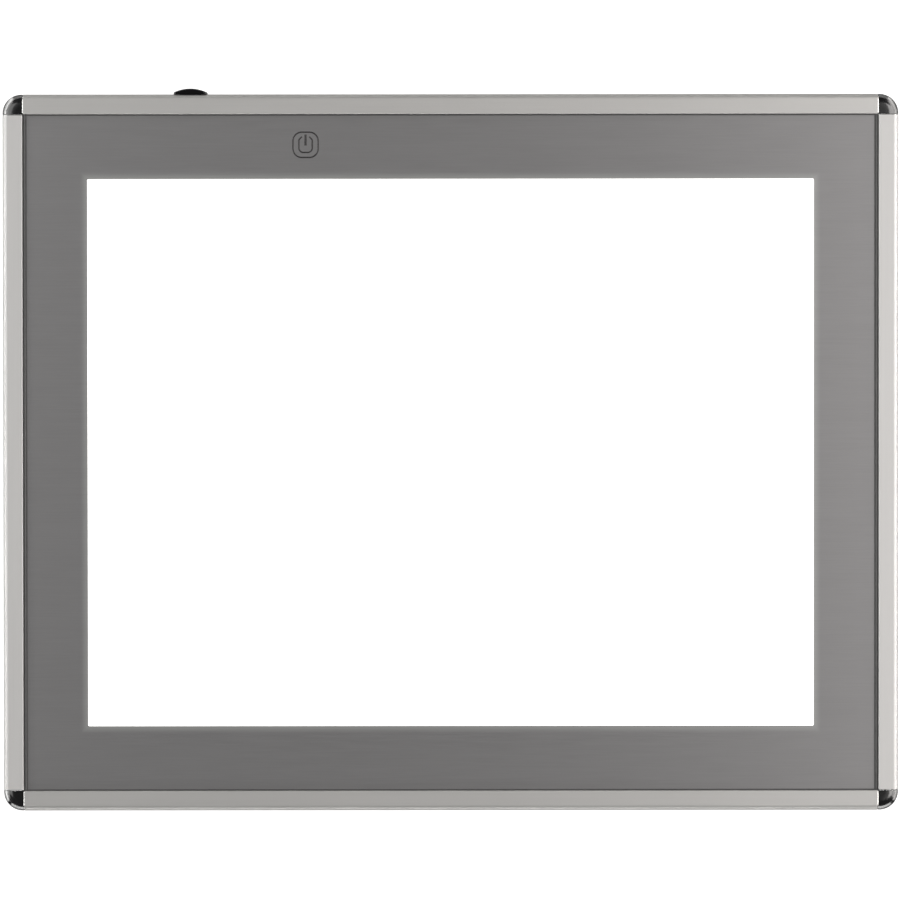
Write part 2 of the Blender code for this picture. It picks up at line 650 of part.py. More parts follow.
def make_wires():
    """Power leads from the jack, and one two-core lead to each LED strip."""
    end_x = CONNECTOR_X0 - SNUG
    tail_y = BODY_Y / 2 - JACK_BACK - JACK_TAIL - SNUG - WIRE_R
    for name, colour, start_x, y in (
        ("wire_power_red", "b4241f", INLET_X, POWER_PLUG_Y + CONNECTOR_HALF_W / 2),
        ("wire_power_black", "1a1a1b", INLET_X + CONTACT_X, POWER_PLUG_Y - CONNECTOR_HALF_W / 2),
    ):
        route = rounded_route([(start_x, tail_y), (start_x, y), (end_x, y)], WIRE_BEND / 2)
        make_tube(name, route, WIRE_R, material(name, colour, 0.45), (0, 0, WIRE_Z))

    white = material("white_pvc", "e8e6df", 0.45)
    strip_back = GUIDE_Y / 2 + 2 * GAP + LED_T + STRIP_T
    rear = [(end_x, REAR_GROOVE_Y), (REAR_DROP_X, REAR_GROOVE_Y), (REAR_DROP_X, strip_back + SNUG)]
    make_tube("wire_led_rear", rounded_route(rear, WIRE_BEND), WIRE_R, white, (0, 0, WIRE_Z))
    front = [
        (end_x, LED_GROOVE_Y),
        (LED_GROOVE_X, LED_GROOVE_Y),
        (LED_GROOVE_X, -LED_GROOVE_Y),
        (STRIP_END_X, -LED_GROOVE_Y),
        (STRIP_END_X, -strip_back),
    ]
    make_tube("wire_led_front", rounded_route(front, WIRE_BEND), WIRE_R, white, (0, 0, WIRE_Z))


def make_back():
    """The back cover with its blank label, and the rubber feet."""
    cover = layer("back_cover", STACK_X, STACK_Y, COVER_Z, COVER_T)
    notch_for_inlet(cover)
    cover.data.materials.append(material("light_grey_abs", "d3d3d1", 0.5))
    label = layer("rating_label", LABEL_X, LABEL_Y, COVER_Z - GAP - LABEL_T, LABEL_T, 2 * MM)
    label.data.materials.append(material("silver_polyester_label", "b9babb", 0.35, 0.5))

    rubber = material("foot_rubber", "242425", 0.75)
    height = FOOT_PROUD + COVER_Z - GAP
    profile = [(FOOT_R - FOOT_ROUND, 0), (FOOT_R, FOOT_ROUND), (FOOT_R, height)]
    for corner, sx, sy in CORNERS:
        at = (sx * FOOT_X, sy * FOOT_Y, -FOOT_PROUD)
        foot = add(f"foot_{corner}", loft(disc_rings(profile, 24)), at)
        smooth(foot)
        foot.data.materials.append(rubber)


def main():
    clear_scene()
    centre = bpy.data.objects.new("pad_centre", None)
    bpy.context.scene.collection.objects.link(centre)
    # The inlet stands proud at the rear, so the rim moves forward by half of that.
    centre.location = (0, -INLET_PROUD / 2, FOOT_PROUD)
    make_rim()
    make_gasket()
    make_panel()
    make_optics()
    make_mid_frame()
    strip_white = material("white_solder_mask", "e9e6d2", 0.4)
    make_led_strip("led_strip_front", -1, strip_white)
    make_led_strip("led_strip_rear", 1, strip_white)
    make_electronics()
    make_inlet()
    make_wires()
    make_back()


main()
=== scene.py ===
# %% [markdown]
# # A drawing light box
#
# A light box is a thin pad with a lit window. An artist lays a drawing on the window, a clean
# sheet over it, and traces the lines that shine through. This one is edge-lit: two strips of
# LEDs shine into the long edges of a clear plate, which sends the light out of its face.
#
# The script dresses a finished mechanical model. Every rail, screw and wire already has its
# place and size there, so each step below reads a part's box from the frame and either gives
# that part a surface or builds a finer version of it in the same place.

# %% Load the mechanical model as the frame
import math

import bmesh
import bpy
from mathutils import Matrix, Vector


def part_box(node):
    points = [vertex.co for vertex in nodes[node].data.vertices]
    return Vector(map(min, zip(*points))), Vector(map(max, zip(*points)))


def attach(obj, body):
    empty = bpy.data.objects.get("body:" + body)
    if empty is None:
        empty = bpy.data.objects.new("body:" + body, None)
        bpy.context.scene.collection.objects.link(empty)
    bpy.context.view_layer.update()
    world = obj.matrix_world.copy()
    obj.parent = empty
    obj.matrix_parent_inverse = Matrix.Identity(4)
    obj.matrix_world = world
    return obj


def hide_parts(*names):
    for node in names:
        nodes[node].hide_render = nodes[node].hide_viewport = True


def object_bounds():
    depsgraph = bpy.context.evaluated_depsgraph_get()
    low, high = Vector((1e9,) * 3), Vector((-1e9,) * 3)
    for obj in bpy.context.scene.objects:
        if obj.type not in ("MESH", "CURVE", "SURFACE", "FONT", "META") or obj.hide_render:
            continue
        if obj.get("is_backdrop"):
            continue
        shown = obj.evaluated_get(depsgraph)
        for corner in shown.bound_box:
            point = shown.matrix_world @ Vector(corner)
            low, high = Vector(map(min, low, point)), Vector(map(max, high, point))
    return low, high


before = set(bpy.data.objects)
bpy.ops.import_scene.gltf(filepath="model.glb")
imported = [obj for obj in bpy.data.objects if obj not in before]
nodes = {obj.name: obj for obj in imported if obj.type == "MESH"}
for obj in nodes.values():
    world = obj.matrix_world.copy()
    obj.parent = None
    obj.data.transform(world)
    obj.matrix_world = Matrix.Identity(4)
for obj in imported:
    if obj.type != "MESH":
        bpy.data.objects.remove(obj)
cad_bounds = [list(corner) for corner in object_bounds()]
MM = 0.001
print("mechanical parts:", len(nodes))

# %% [markdown]
# ## Measure the rim
#
# The rim is the four rails and the four corner caps. Its middle is the middle of the pad, a
# little in front of the origin, because the power inlet stands out at the rear. Nearly every
# place below is counted from that middle and from the rim's underside.

# %% Measure the rim and the lit window
left_lo, left_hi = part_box("rail_left")
right_lo, right_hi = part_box("rail_right")
front_lo, front_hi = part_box("rail_front")
rear_lo, rear_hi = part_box("rail_rear")
rim_lo = Vector((left_lo.x, front_lo.y, front_lo.z))
rim_hi = Vector((right_hi.x, rear_hi.y, rear_hi.z))
middle = (rim_lo + rim_hi) / 2
rim = rim_hi - rim_lo
LIP = left_hi.x - left_lo.x
WINDOW = Vector((304, 229)) * MM  # nominally 12 by 9 inches
film_lo, film_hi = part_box("bezel_overlay")
print("rim", [round(side / MM, 1) for side in rim], "mm; lip", round(LIP / MM, 2), "mm")

# %% [markdown]
# ## Small tools
#
# Three habits keep the rest short. Screen colours are written as hex and turned into Blender's
# linear colour once. One function adds any node, sets it and links it. Another keeps the result
# of an object's modifiers as a plain mesh, so nothing stays live that the export would drop.


# %% Colours and nodes
def linear(hex_colour):
    """Linear RGBA of an sRGB colour such as "c0c0c0"."""
    channels = [int(hex_colour[i : i + 2], 16) / 255 for i in (0, 2, 4)]
    return (*(c / 12.92 if c <= 0.04045 else ((c + 0.055) / 1.055) ** 2.4 for c in channels), 1)


def node(tree, kind, inputs=None, **settings):
    """Adds a node, sets its properties, and gives its inputs values or links."""
    made = tree.nodes.new(kind)
    for name, value in settings.items():
        setattr(made, name, value)
    for name, value in (inputs or {}).items():
        if isinstance(value, bpy.types.NodeSocket):
            tree.links.new(value, made.inputs[name])
        else:
            made.inputs[name].default_value = value
    return made


def shader_of(mat):
    """A material's node tree and the Principled shader in it."""
    mat.use_nodes = True
    return mat.node_tree, mat.node_tree.nodes["Principled BSDF"]


print("middle grey is", round(linear("808080")[0], 3), "in linear light")

# %% Meshes and what finishes them
SLIVER = 0.004 * MM  # anything smaller is left over from a cut


def keep_result(obj):
    """Replaces an object's modifiers by the mesh that they make."""
    graph = bpy.context.evaluated_depsgraph_get()
    mesh = bpy.data.meshes.new_from_object(obj.evaluated_get(graph), depsgraph=graph)
    obj.modifiers.clear()
    obj.data = mesh
    mesh.name = obj.name
    return obj


def in_scene(name, data):
    """A new object in the scene, holding a mesh, a light or a camera."""
    obj = bpy.data.objects.new(name, data)
    bpy.context.scene.collection.objects.link(obj)
    return obj


def add_object(name, bm):
    """Makes an object of a bmesh, with its faces pointing out."""
    bmesh.ops.recalc_face_normals(bm, faces=bm.faces)
    mesh = bpy.data.meshes.new(name)
    bm.to_mesh(mesh)
    bm.free()
    return in_scene(name, mesh)


def soften(obj, angle=40, bevel=0.0, segments=2):
    """Breaks the sharp edges with a small bevel, clears the slivers that cuts leave, and shades
    the round edges smooth."""
    if bevel:
        edge = obj.modifiers.new("edge", "BEVEL")
        edge.width = bevel
        edge.segments = segments
        edge.limit_method = "ANGLE"
        edge.angle_limit = math.radians(angle)
        edge.use_clamp_overlap = True
        keep_result(obj)
    clean = bmesh.new()
    clean.from_mesh(obj.data)
    bmesh.ops.remove_doubles(clean, verts=clean.verts, dist=SLIVER)
    bmesh.ops.dissolve_degenerate(clean, edges=clean.edges, dist=SLIVER)
    stray = [face for face in clean.faces if all(len(edge.link_faces) != 2 for edge in face.edges)]
    bmesh.ops.delete(clean, geom=stray, context="FACES")
    clean.to_mesh(obj.data)
    clean.free()
    obj.data.shade_smooth()
    obj.data.set_sharp_from_angle(angle=math.radians(angle))
    flat = obj.modifiers.new("flat faces stay flat", "WEIGHTED_NORMAL")
    flat.keep_sharp = True
    return keep_result(obj)


print("slivers under", SLIVER / MM, "mm are cleared")


# %% Arcs, lofts, turned shapes and blocks
def arc(centre, radii, start, end, steps):
    """Points of an arc or part of an ellipse, with its ends, at angles in degrees."""
    (x, y), (across, up) = centre, radii
    angles = [math.radians(start + (end - start) * i / steps) for i in range(steps + 1)]
    return [(x + across * math.cos(a), y + up * math.sin(a)) for a in angles]


def loft(rings, closed=False):
    """Skins a row of closed rings of points. An open row gets a face at either end."""
    bm = bmesh.new()
    skins = [[bm.verts.new(point) for point in ring] for ring in rings]
    if not closed:
        bm.faces.new(skins[0])
        bm.faces.new(skins[-1])
    for here, there in zip(skins, skins[1:] + skins[:1] if closed else skins[1:]):
        for i in range(len(here)):
            j = (i + 1) % len(here)
            bm.faces.new((here[i], here[j], there[j], there[i]))
    return bm


def turned(profile, sides):
    """A turned shape round Z from (radius, height) points, closed at both ends."""
    turns = [2 * math.pi * i / sides for i in range(sides)]
    return loft([[(r * math.cos(t), r * math.sin(t), z) for t in turns] for r, z in profile])


def block(lo, hi):
    """A plain box between two corners."""
    corners = [(lo[0], lo[1]), (hi[0], lo[1]), (hi[0], hi[1]), (lo[0], hi[1])]
    return loft([[(x, y, z) for x, y in corners] for z in (lo[2], hi[2])])


print("a quarter turn in 4 steps has", len(arc((0, 0), (1, 1), 0, 90, 4)), "points")


# %% Cuts, and handing a finished piece to the frame
def cut(obj, tool, operation="DIFFERENCE"):
    """Cuts or joins obj with tool, then drops the tool."""
    boolean = obj.modifiers.new("cut", "BOOLEAN")
    boolean.object = tool
    boolean.operation = operation
    keep_result(obj)
    bpy.data.objects.remove(tool)


def settle(obj, slot, *replaced):
    """Hangs a finished piece on the pad and hides the plain parts it stands for."""
    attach(obj, "root")
    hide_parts(*replaced)
    print(f"{obj.name}: {len(obj.data.polygons)} faces")


# %% [markdown]
# ## Floor, camera and light
#
# The pad lies on a white table and is seen from straight above. A flat, shiny thing seen from
# above mirrors the ceiling, so the light decides how its metal looks. Low strips of light stand
# on all four sides and draw a bright line along each rounded rail. Taller panels at the left and
# right light the slopes of the corner caps, and only two narrow, faint ones hang overhead, so
# that the metal shows its own grey. A lamp under the table shines through it, because the
# underside is looked at too. The lens alone sees a white backdrop; all else sees a dim room.

# %% Lay the white table
TABLE_SIZE = 6.0
TABLE_GLOW = 0.95  # the lens sees the paper just short of pure white


def pale_table():
    """Matt white paper. Seen from below it is clear, and the lamp below shines through it, so the
    pad's underside can be looked at."""
    mat = bpy.data.materials.new("matt_white_paper")
    tree, shader = shader_of(mat)
    shader.inputs["Base Color"].default_value = linear("aeaead")
    shader.inputs["Roughness"].default_value = 0.9
    shader.inputs["Specular IOR Level"].default_value = 0.1
    side = node(tree, "ShaderNodeNewGeometry")
    seen = node(tree, "ShaderNodeLightPath")
    passes = node(
        tree,
        "ShaderNodeMath",
        {0: side.outputs["Backfacing"], 1: seen.outputs["Is Shadow Ray"]},
        operation="MAXIMUM",
    )
    clear = node(tree, "ShaderNodeBsdfTransparent")
    mix = node(tree, "ShaderNodeMixShader", {0: passes.outputs[0], 1: shader.outputs[0]})
    tree.links.new(clear.outputs[0], mix.inputs[2])
    tree.links.new(mix.outputs[0], tree.nodes["Material Output"].inputs["Surface"])
    lens_ray = seen.outputs["Is Camera Ray"]
    glow = node(tree, "ShaderNodeMath", {0: lens_ray, 1: TABLE_GLOW}, operation="MULTIPLY")
    shader.inputs["Emission Color"].default_value = (1, 1, 1, 1)
    tree.links.new(glow.outputs[0], shader.inputs["Emission Strength"])
    return mat


table_mesh = bmesh.new()
bmesh.ops.create_grid(table_mesh, x_segments=1, y_segments=1, size=TABLE_SIZE / 2)
table = add_object("table", table_mesh)
table.data.materials.append(pale_table())
if table.data.polygons[0].normal.z < 0:
    table.data.flip_normals()
table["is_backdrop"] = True
print("table", TABLE_SIZE, "m square")

# %% Aim the camera
CAMERA_HEIGHT = 1.35
FRAME_WIDTH = 376.5 * MM  # what fits across the frame, at the height of the rim's top
AIM_X, AIM_Y = -0.3 * MM, 1.1 * MM  # the lens looks just beside the pad's middle
LEAN = math.radians(0.6)  # the camera stands a little to the rear of the pad's middle
ROLL = math.radians(-0.055)
camera_data = bpy.data.cameras.new("camera")
camera = in_scene("camera", camera_data)
bpy.context.scene.camera = camera
aim = Vector((middle.x + AIM_X, middle.y + AIM_Y, rim_hi.z))
camera.location = aim + Vector((0, math.sin(LEAN), math.cos(LEAN))) * CAMERA_HEIGHT
camera.rotation_euler = (-LEAN, 0, ROLL)
camera_data.lens = camera_data.sensor_width * CAMERA_HEIGHT / FRAME_WIDTH
camera_data.clip_start = 0.05
print("camera lens", round(camera_data.lens), "mm")


# %% Place the lights
def softbox(name, place, size, radiance, colour):
    """A rectangular softbox that faces the pad, its power worked out from its face."""
    lamp = bpy.data.lights.new(name, "AREA")
    lamp.shape = "RECTANGLE"
    lamp.size, lamp.size_y = size
    lamp.energy = radiance * math.pi * size[0] * size[1]
    lamp.color = colour
    box = in_scene(name, lamp)
    box.location = place
    box.rotation_euler = (middle - Vector(place)).to_track_quat("-Z", "Y").to_euler()
    box.visible_camera = False


ROOM = 0.06  # how bright the rest of the room is, beside a white backdrop of 1
WARM, COOL = (1.0, 0.975, 0.955), (1.0, 0.998, 0.985)
BOXES = {
    # name: place, length and height in metres, radiance of its face, colour
    "low_right": ((1.6, 0.3, 0.4), (3.2, 0.14), 6.0, WARM),
    "low_left": ((-1.6, 0.3, 0.4), (3.2, 0.14), 9.6, COOL),
    "low_front": ((0.0, -1.6, 0.4), (3.2, 0.14), 6.2, COOL),
    "low_rear": ((0.0, 1.6, 0.4), (3.2, 0.14), 1.7, COOL),
    "middle_right": ((1.6, 0.3, 0.8), (2.6, 0.55), 2.6, WARM),
    "middle_left": ((-1.6, 0.3, 0.8), (2.6, 0.55), 1.7, COOL),
    "high_right": ((1.35, 0.1, 1.6), (1.9, 1.1), 2.9, WARM),
    "high_left": ((-1.35, 0.3, 1.6), (1.9, 1.1), 1.2, COOL),
    "top_right": ((0.7, 0.1, 2.1), (1.9, 0.5), 0.35, WARM),
    "top_left": ((-0.8, 0.3, 2.1), (1.5, 0.3), 0.15, COOL),
    "below": ((0.3, -0.5, -1.2), (1.6, 1.6), 1.0, COOL),
}
for name, box in BOXES.items():
    softbox(name, *box)
print("lights:", ", ".join(BOXES))

# %% Hang the backdrop
world = bpy.data.worlds.new("studio")
bpy.context.scene.world = world
world.use_nodes = True
room = world.node_tree
backdrop = room.nodes["Background"]
# the lens sees a white backdrop; everything else sees a dim room
lens = node(room, "ShaderNodeLightPath").outputs["Is Camera Ray"]
level = node(room, "ShaderNodeMapRange", {"Value": lens, "To Min": ROOM, "To Max": 1.0})
room.links.new(level.outputs[0], backdrop.inputs["Strength"])
backdrop.inputs["Color"].default_value = (1, 1, 1, 1)
bpy.context.scene.view_settings.view_transform = "Standard"
print("the room has", ROOM, "of the backdrop's light")

# %% [markdown]
# ## Surfaces
#
# Most of the finishes here are one idea with different numbers: a base colour that drifts a
# little, a roughness that drifts with it, and a fine relief. The pattern is sized in real
# millimetres along each axis, so a grain can be long one way and narrow the other.


# %% A general finish with grain
FLOOR, PEAK = 0.3, 0.7  # nearly all of a noise pattern lies between these


def finish(name, colour, drift, grain_mm, roughness, relief_mm=0.0, metallic=0.0, ior=1.5):
    """A Principled material. colour and drift are the hex colours that the surface wanders between,
    grain_mm the size of the pattern, one number or one for each of X, Y and Z, and roughness its
    (low, high) range."""
    mat = bpy.data.materials.new(name)
    tree, shader = shader_of(mat)
    shader.inputs["Metallic"].default_value = metallic
    shader.inputs["IOR"].default_value = ior
    place = node(tree, "ShaderNodeTexCoord")
    sizes = grain_mm if isinstance(grain_mm, tuple) else (grain_mm,) * 3
    scale = [1 / (size * MM) for size in sizes]
    sized = node(tree, "ShaderNodeMapping", {"Vector": place.outputs["Object"], "Scale": scale})
    grain = node(
        tree,
        "ShaderNodeTexNoise",
        {"Vector": sized.outputs[0], "Scale": 1.0, "Detail": 3.0, "Roughness": 0.6},
    )
    ramp = node(tree, "ShaderNodeValToRGB", {"Fac": grain.outputs["Fac"]})
    for stop, at, tone in zip(ramp.color_ramp.elements, (FLOOR, PEAK), (colour, drift)):
        stop.position = at
        stop.color = linear(tone)
    tree.links.new(ramp.outputs["Color"], shader.inputs["Base Color"])
    rough = node(
        tree,
        "ShaderNodeMapRange",
        {"Value": grain.outputs["Fac"], "From Min": FLOOR, "From Max": PEAK},
    )
    rough.inputs["To Min"].default_value, rough.inputs["To Max"].default_value = roughness
    tree.links.new(rough.outputs[0], shader.inputs["Roughness"])
    if relief_mm:
        bump = node(
            tree,
            "ShaderNodeBump",
            {"Height": grain.outputs["Fac"], "Distance": relief_mm * MM, "Strength": 1.0},
        )
        tree.links.new(bump.outputs[0], shader.inputs["Normal"])
    print("finish:", name)
    return mat


# %% [markdown]
# ## Metals
#
# The rails are aluminium drawn through a die, satin-finished and anodised: a metal, so its colour
# sits in the reflection, with faint lines along the way it was drawn. Side and front rails get
# the same finish turned a quarter, because the lines follow each rail, except that the side
# rails' colour is painted a shade lighter: a painted highlight for the side light they catch.

# %% Anodised aluminium, screws, contacts
# satin anodising is pale and faintly warm, with a broad soft shine and no mirror image;
# its die lines are finer than 0.1 mm, drawn 0.5 mm wide so that they show at all
ANODISED = {"relief_mm": 0.002, "metallic": 1.0}
LINES_X, LINES_Y = (60, 0.5, 0.5), (0.5, 60, 0.5)
ACROSS, ALONG = (0.62, 0.66), (0.5, 0.54)  # rough as lit across the die lines, and along them
anodised_x = finish("anodised_aluminium_along_x", "dddcda", "e0dfdd", LINES_X, ALONG, **ANODISED)
# painted highlight: the side rails' base colour is a shade lighter than the front and rear rails'
anodised_y_painted_lighter = finish("anodised_aluminium_along_y", "e0dfde", "e3e2e1", LINES_Y, ACROSS, **ANODISED)
# black oxide on steel is thin and slightly blue, with a dull metal shine
screw_steel = finish("black_oxide_steel", "2b2b2e", "38383b", 0.6, (0.32, 0.45), 0.01, 1.0)
# nickel plate is warm and nearly a mirror
nickel = finish("nickel_plated_brass", "c9c4b4", "d5d0c2", 0.8, (0.16, 0.26), 0.004, 1.0)
# drawn bronze wire is a dull reddish gold with a soft sheen
bronze = finish("phosphor_bronze", "b98d5a", "c79c68", 0.5, (0.22, 0.34), 0.004, 1.0)
# bare copper foil is pink and bright, blotched where it has begun to tarnish
copper = finish("copper_foil", "b8683c", "c97c50", 2, (0.25, 0.4), 0.006, 1.0)

# %% [markdown]
# ## Plastics, rubber and films
#
# Moulded ABS takes the spark-etched texture of its mould, so it looks matt and slightly grainy.
# The corner caps and the inlet come from a polished mould instead: deep black with a clean
# reflection, and only a trace of ripple. Rubber feet and foam tape are the driest and roughest.

# %% Plastics and rubber
# polished acrylic-capped plastic: deep black, and a clear skin over it mirrors the lights softly
cap_plastic = finish("polished_black_plastic", "0e0e0f", "121213", 4, (0.15, 0.19), 0.002, ior=1.58)
_, cap_shader = shader_of(cap_plastic)
cap_shader.inputs["Coat Weight"].default_value = 1.0
cap_shader.inputs["Coat Roughness"].default_value = 0.16
cap_shader.inputs["Coat IOR"].default_value = 1.7
# the inlet's lens has no skin but is smoother, so its highlights are small and crisp
inlet_plastic = finish("polished_inlet_plastic", "0c0c0d", "101012", 3, (0.10, 0.14), 0.002)
# spark-etched ABS is matt and finely pebbled; the etch is about 0.2 mm, drawn at 0.6 mm
grey_abs = finish("etched_grey_abs", "cfcfcd", "d8d8d6", 0.6, (0.42, 0.55), 0.03)
# the same etch in black looks softer, because only its highlights show it
black_abs = finish("etched_black_abs", "1d1d1f", "262628", 0.5, (0.48, 0.62), 0.03)
# an extruded rubber bead is dark grey and dusty, with a faint satin line along its crown
rubber = finish("black_rubber", "5c5c5c", "666666", 1.2, (0.3, 0.4), 0.006)
# moulded feet are near black and dry, with no highlight to speak of
foot_rubber = finish("moulded_foot_rubber", "212122", "2b2b2c", 0.5, (0.6, 0.8), 0.04)
# foam is full of open cells that swallow light: the darkest and roughest surface here
foam_tape = finish("foam_tape", "1f1f21", "2e2e31", 0.3, (0.85, 0.98), 0.08)
# natural nylon is milky and a little yellow, with a waxy shine
nylon = finish("moulded_nylon", "e6e4dc", "efeee8", 0.8, (0.4, 0.55), 0.01)

# %% Electronic parts, wires and films
# the epoxy round a chip is charcoal and dull, finely pitted by its mould
epoxy = finish("moulded_epoxy", "1a1a1c", "242427", 0.15, (0.5, 0.65), 0.01)
# pressed ferrite is a grey-black ceramic, dry and grainy
ferrite = finish("pressed_ferrite", "343437", "434347", 0.2, (0.65, 0.85), 0.02)
# a tantalum capacitor is cased in mustard resin, smooth and half matt
tantalum = finish("tantalum_case", "c08029", "cf9036", 0.4, (0.4, 0.5), 0.008)
# soft PVC sleeves are smooth and a little waxy, and their colour shifts slowly along the wire
red_pvc = finish("red_pvc_sleeve", "ad211d", "bd2a24", 6, (0.34, 0.46), 0.004)
black_pvc = finish("black_pvc_sleeve", "171718", "202021", 6, (0.34, 0.46), 0.004)
white_pvc = finish("white_pvc_sleeve", "e2e0d9", "ecebe5", 6, (0.34, 0.46), 0.004)
# polyester sheet is an even, bright white that barely shines
white_film = finish("matt_white_polyester", "f0f0ee", "f6f6f5", 5, (0.45, 0.6), 0.004)
# the ceramic round an LED is the densest white here, with a soft glaze
led_case = finish("led_ceramic_white", "ecebe6", "f4f3ef", 0.5, (0.3, 0.45), 0.004)
# phosphor gel is lemon yellow while unlit, and looks wet
phosphor = finish("phosphor_gel", "dcc23a", "e6cf55", 0.3, (0.2, 0.35), 0.01)
# printed ink is a thin matt skin
print_ink = finish("dark_grey_ink", "2a2829", "343233", 0.6, (0.45, 0.6), 0.003)

# %% [markdown]
# ## Surfaces that know where the window is
#
# Three surfaces change at a rectangle: the film glows a little where light creeps under its cut
# edge, the opal panel shines only inside the window, and the label has a printed frame. Each
# needs one number, the distance to a rectangle, which the object's own coordinates give.


# %% Distance to a rectangle
def rectangle_distance(tree, centre, half):
    """Metres outside a rectangle round a centre, negative inside it."""
    place = node(tree, "ShaderNodeTexCoord")
    shifted = node(
        tree,
        "ShaderNodeVectorMath",
        {0: place.outputs["Object"], 1: (centre[0], centre[1], 0)},
        operation="SUBTRACT",
    )
    folded = node(tree, "ShaderNodeVectorMath", {0: shifted.outputs[0]}, operation="ABSOLUTE")
    outside = node(
        tree,
        "ShaderNodeVectorMath",
        {0: folded.outputs[0], 1: (half[0], half[1], 0)},
        operation="SUBTRACT",
    )
    split = node(tree, "ShaderNodeSeparateXYZ", {0: outside.outputs[0]})
    return node(
        tree, "ShaderNodeMath", {0: split.outputs["X"], 1: split.outputs["Y"]}, operation="MAXIMUM"
    ).outputs[0]


def band(tree, distance, start, end, low, high):
    """A number that runs smoothly from low to high as the distance goes from start to end."""
    ramp = node(
        tree,
        "ShaderNodeMapRange",
        {"Value": distance, "From Min": start, "From Max": end, "To Min": low, "To Max": high},
        interpolation_type="SMOOTHSTEP",
    )
    return ramp.outputs[0]


def edge_glow(mat, hex_colour, start, end, strength):
    """Makes a material glow inside the window, fading out from start to end beyond its edge."""
    tree, shader = shader_of(mat)
    to_window = rectangle_distance(tree, middle, WINDOW / 2)
    shader.inputs["Emission Color"].default_value = linear(hex_colour)
    glow = band(tree, to_window, start, end, strength, 0.0)
    tree.links.new(glow, shader.inputs["Emission Strength"])


def tint(mat, amount, hex_colour):
    """Lays a colour over a material's own, by an amount from 0 to 1."""
    tree, shader = shader_of(mat)
    under = shader.inputs["Base Color"].links[0].from_socket
    mixed = node(tree, "ShaderNodeMix", {"Factor": amount}, data_type="RGBA")
    tree.links.new(under, mixed.inputs[6])
    mixed.inputs[7].default_value = linear(hex_colour)
    tree.links.new(mixed.outputs[2], shader.inputs["Base Color"])


print("window", [round(side / MM) for side in WINDOW], "mm")

# %% Brushed film and lit opal acrylic
# film printed silver and brushed is an even grey with hair lines along X, and hardly a mirror
film = finish("brushed_metal_film", "b5b4b5", "bab9ba", (18, 0.45, 1), (0.33, 0.35), 0.0015, 0.8)
edge_glow(film, "dfe4dc", 0.2 * MM, 3.2 * MM, 0.10)
# opal acrylic scatters light all the way through: lit milk under a gloss
opal = finish("opal_acrylic", "f6f6f3", "fafaf8", 20, (0.12, 0.18), ior=1.49)
edge_glow(opal, "fffffc", 0.0 * MM, 0.2 * MM, 1.4)

# %% Silver label with a printed frame and no words
label_lo, label_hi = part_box("rating_label")
label_middle = (label_lo + label_hi) / 2
label_half = (label_hi - label_lo) / 2 - Vector((2, 2, 0)) * MM  # the frame is 2 mm in
FRAME_LINE = 0.25 * MM  # half of its width
# silvered polyester under varnish is a dull mirror, streaked along X
label_film = finish(
    "silver_polyester_label", "c0c1c2", "c8c9ca", (3, 0.5, 3), (0.28, 0.38), 0.003, 0.7
)
label_tree = label_film.node_tree
to_frame = rectangle_distance(label_tree, label_middle, label_half)
frame_line = node(
    label_tree, "ShaderNodeMath", {0: to_frame, 1: 0.0, 2: FRAME_LINE}, operation="COMPARE"
)
tint(label_film, frame_line.outputs[0], "3a3a3c")
print("label", [round(side / MM, 1) for side in label_hi - label_lo], "mm")

# %% [markdown]
# ## Clear plate and circuit boards
#
# The light guide is clear acrylic with rows of tiny printed dots on its back: light travels along
# the plate until it hits a dot and turns upwards. A circuit board is green because of the lacquer
# over its copper, and the copper tracks show as slightly lighter lines under it.


# %% Dotted acrylic and green boards
def cells(tree, size_mm, feature="F1", scatter=1.0):
    """Cell pattern on Object coordinates with cells of a size in millimetres."""
    place = node(tree, "ShaderNodeTexCoord")
    flat = node(tree, "ShaderNodeMapping", {"Vector": place.outputs["Object"], "Scale": (1, 1, 0)})
    return node(
        tree,
        "ShaderNodeTexVoronoi",
        {"Vector": flat.outputs[0], "Scale": 1 / (size_mm * MM), "Randomness": scatter},
        feature=feature,
    ).outputs["Distance"]


# clear acrylic is all but invisible, with a cold green cast; its dots are matt white ink
clear_acrylic = finish("dotted_clear_acrylic", "eef5f4", "f3f9f8", 30, (0.02, 0.04), ior=1.49)
clear_tree, clear_shader = shader_of(clear_acrylic)
clear_shader.inputs["Transmission Weight"].default_value = 0.9
dots = cells(clear_tree, 1.5, scatter=0.0)
tint(clear_acrylic, band(clear_tree, dots, 0.2, 0.28, 1.0, 0.0), "ffffff")
# solder mask is green lacquer over copper, so the tracks show through it a little lighter
board_green = finish("green_solder_mask", "14532f", "1a6038", 0.8, (0.25, 0.38), 0.004)
board_tree = board_green.node_tree
tracks = cells(board_tree, 2.2, "DISTANCE_TO_EDGE")
tint(board_green, band(board_tree, tracks, 0.05, 0.1, 1.0, 0.0), "2f8350")
# white solder mask is flatter and hides its tracks, to throw the light back
strip_white = finish("white_solder_mask", "e9e9e4", "f1f1ed", 0.8, (0.3, 0.42), 0.004)

# %% Give the parts that stay as they are their finishes
FINISH_OF = {
    film: ["bezel_overlay"],
    opal: ["front_panel"],
    white_film: ["diffuser_sheet", "reflector_sheet"],
    clear_acrylic: ["light_guide"],
    foam_tape: ["panel_tape"],
    black_abs: ["mid_frame"],
    grey_abs: ["back_cover"],
    label_film: ["rating_label"],
    board_green: ["control_board"],
    epoxy: ["touch_chip", "driver_chip"],
    ferrite: ["power_inductor"],
    tantalum: ["filter_capacitor"],
    nylon: ["power_connector", "led_connector"],
    copper: ["touch_electrode"],
    inlet_plastic: ["jack_body"],
    nickel: ["jack_spring_contact"],
}
for mat, names in FINISH_OF.items():
    for name in names:
        for material_slot in nodes[name].material_slots:
            material_slot.link = "OBJECT"
            material_slot.material = mat
print("finished as they are:", sum(map(len, FINISH_OF.values())))

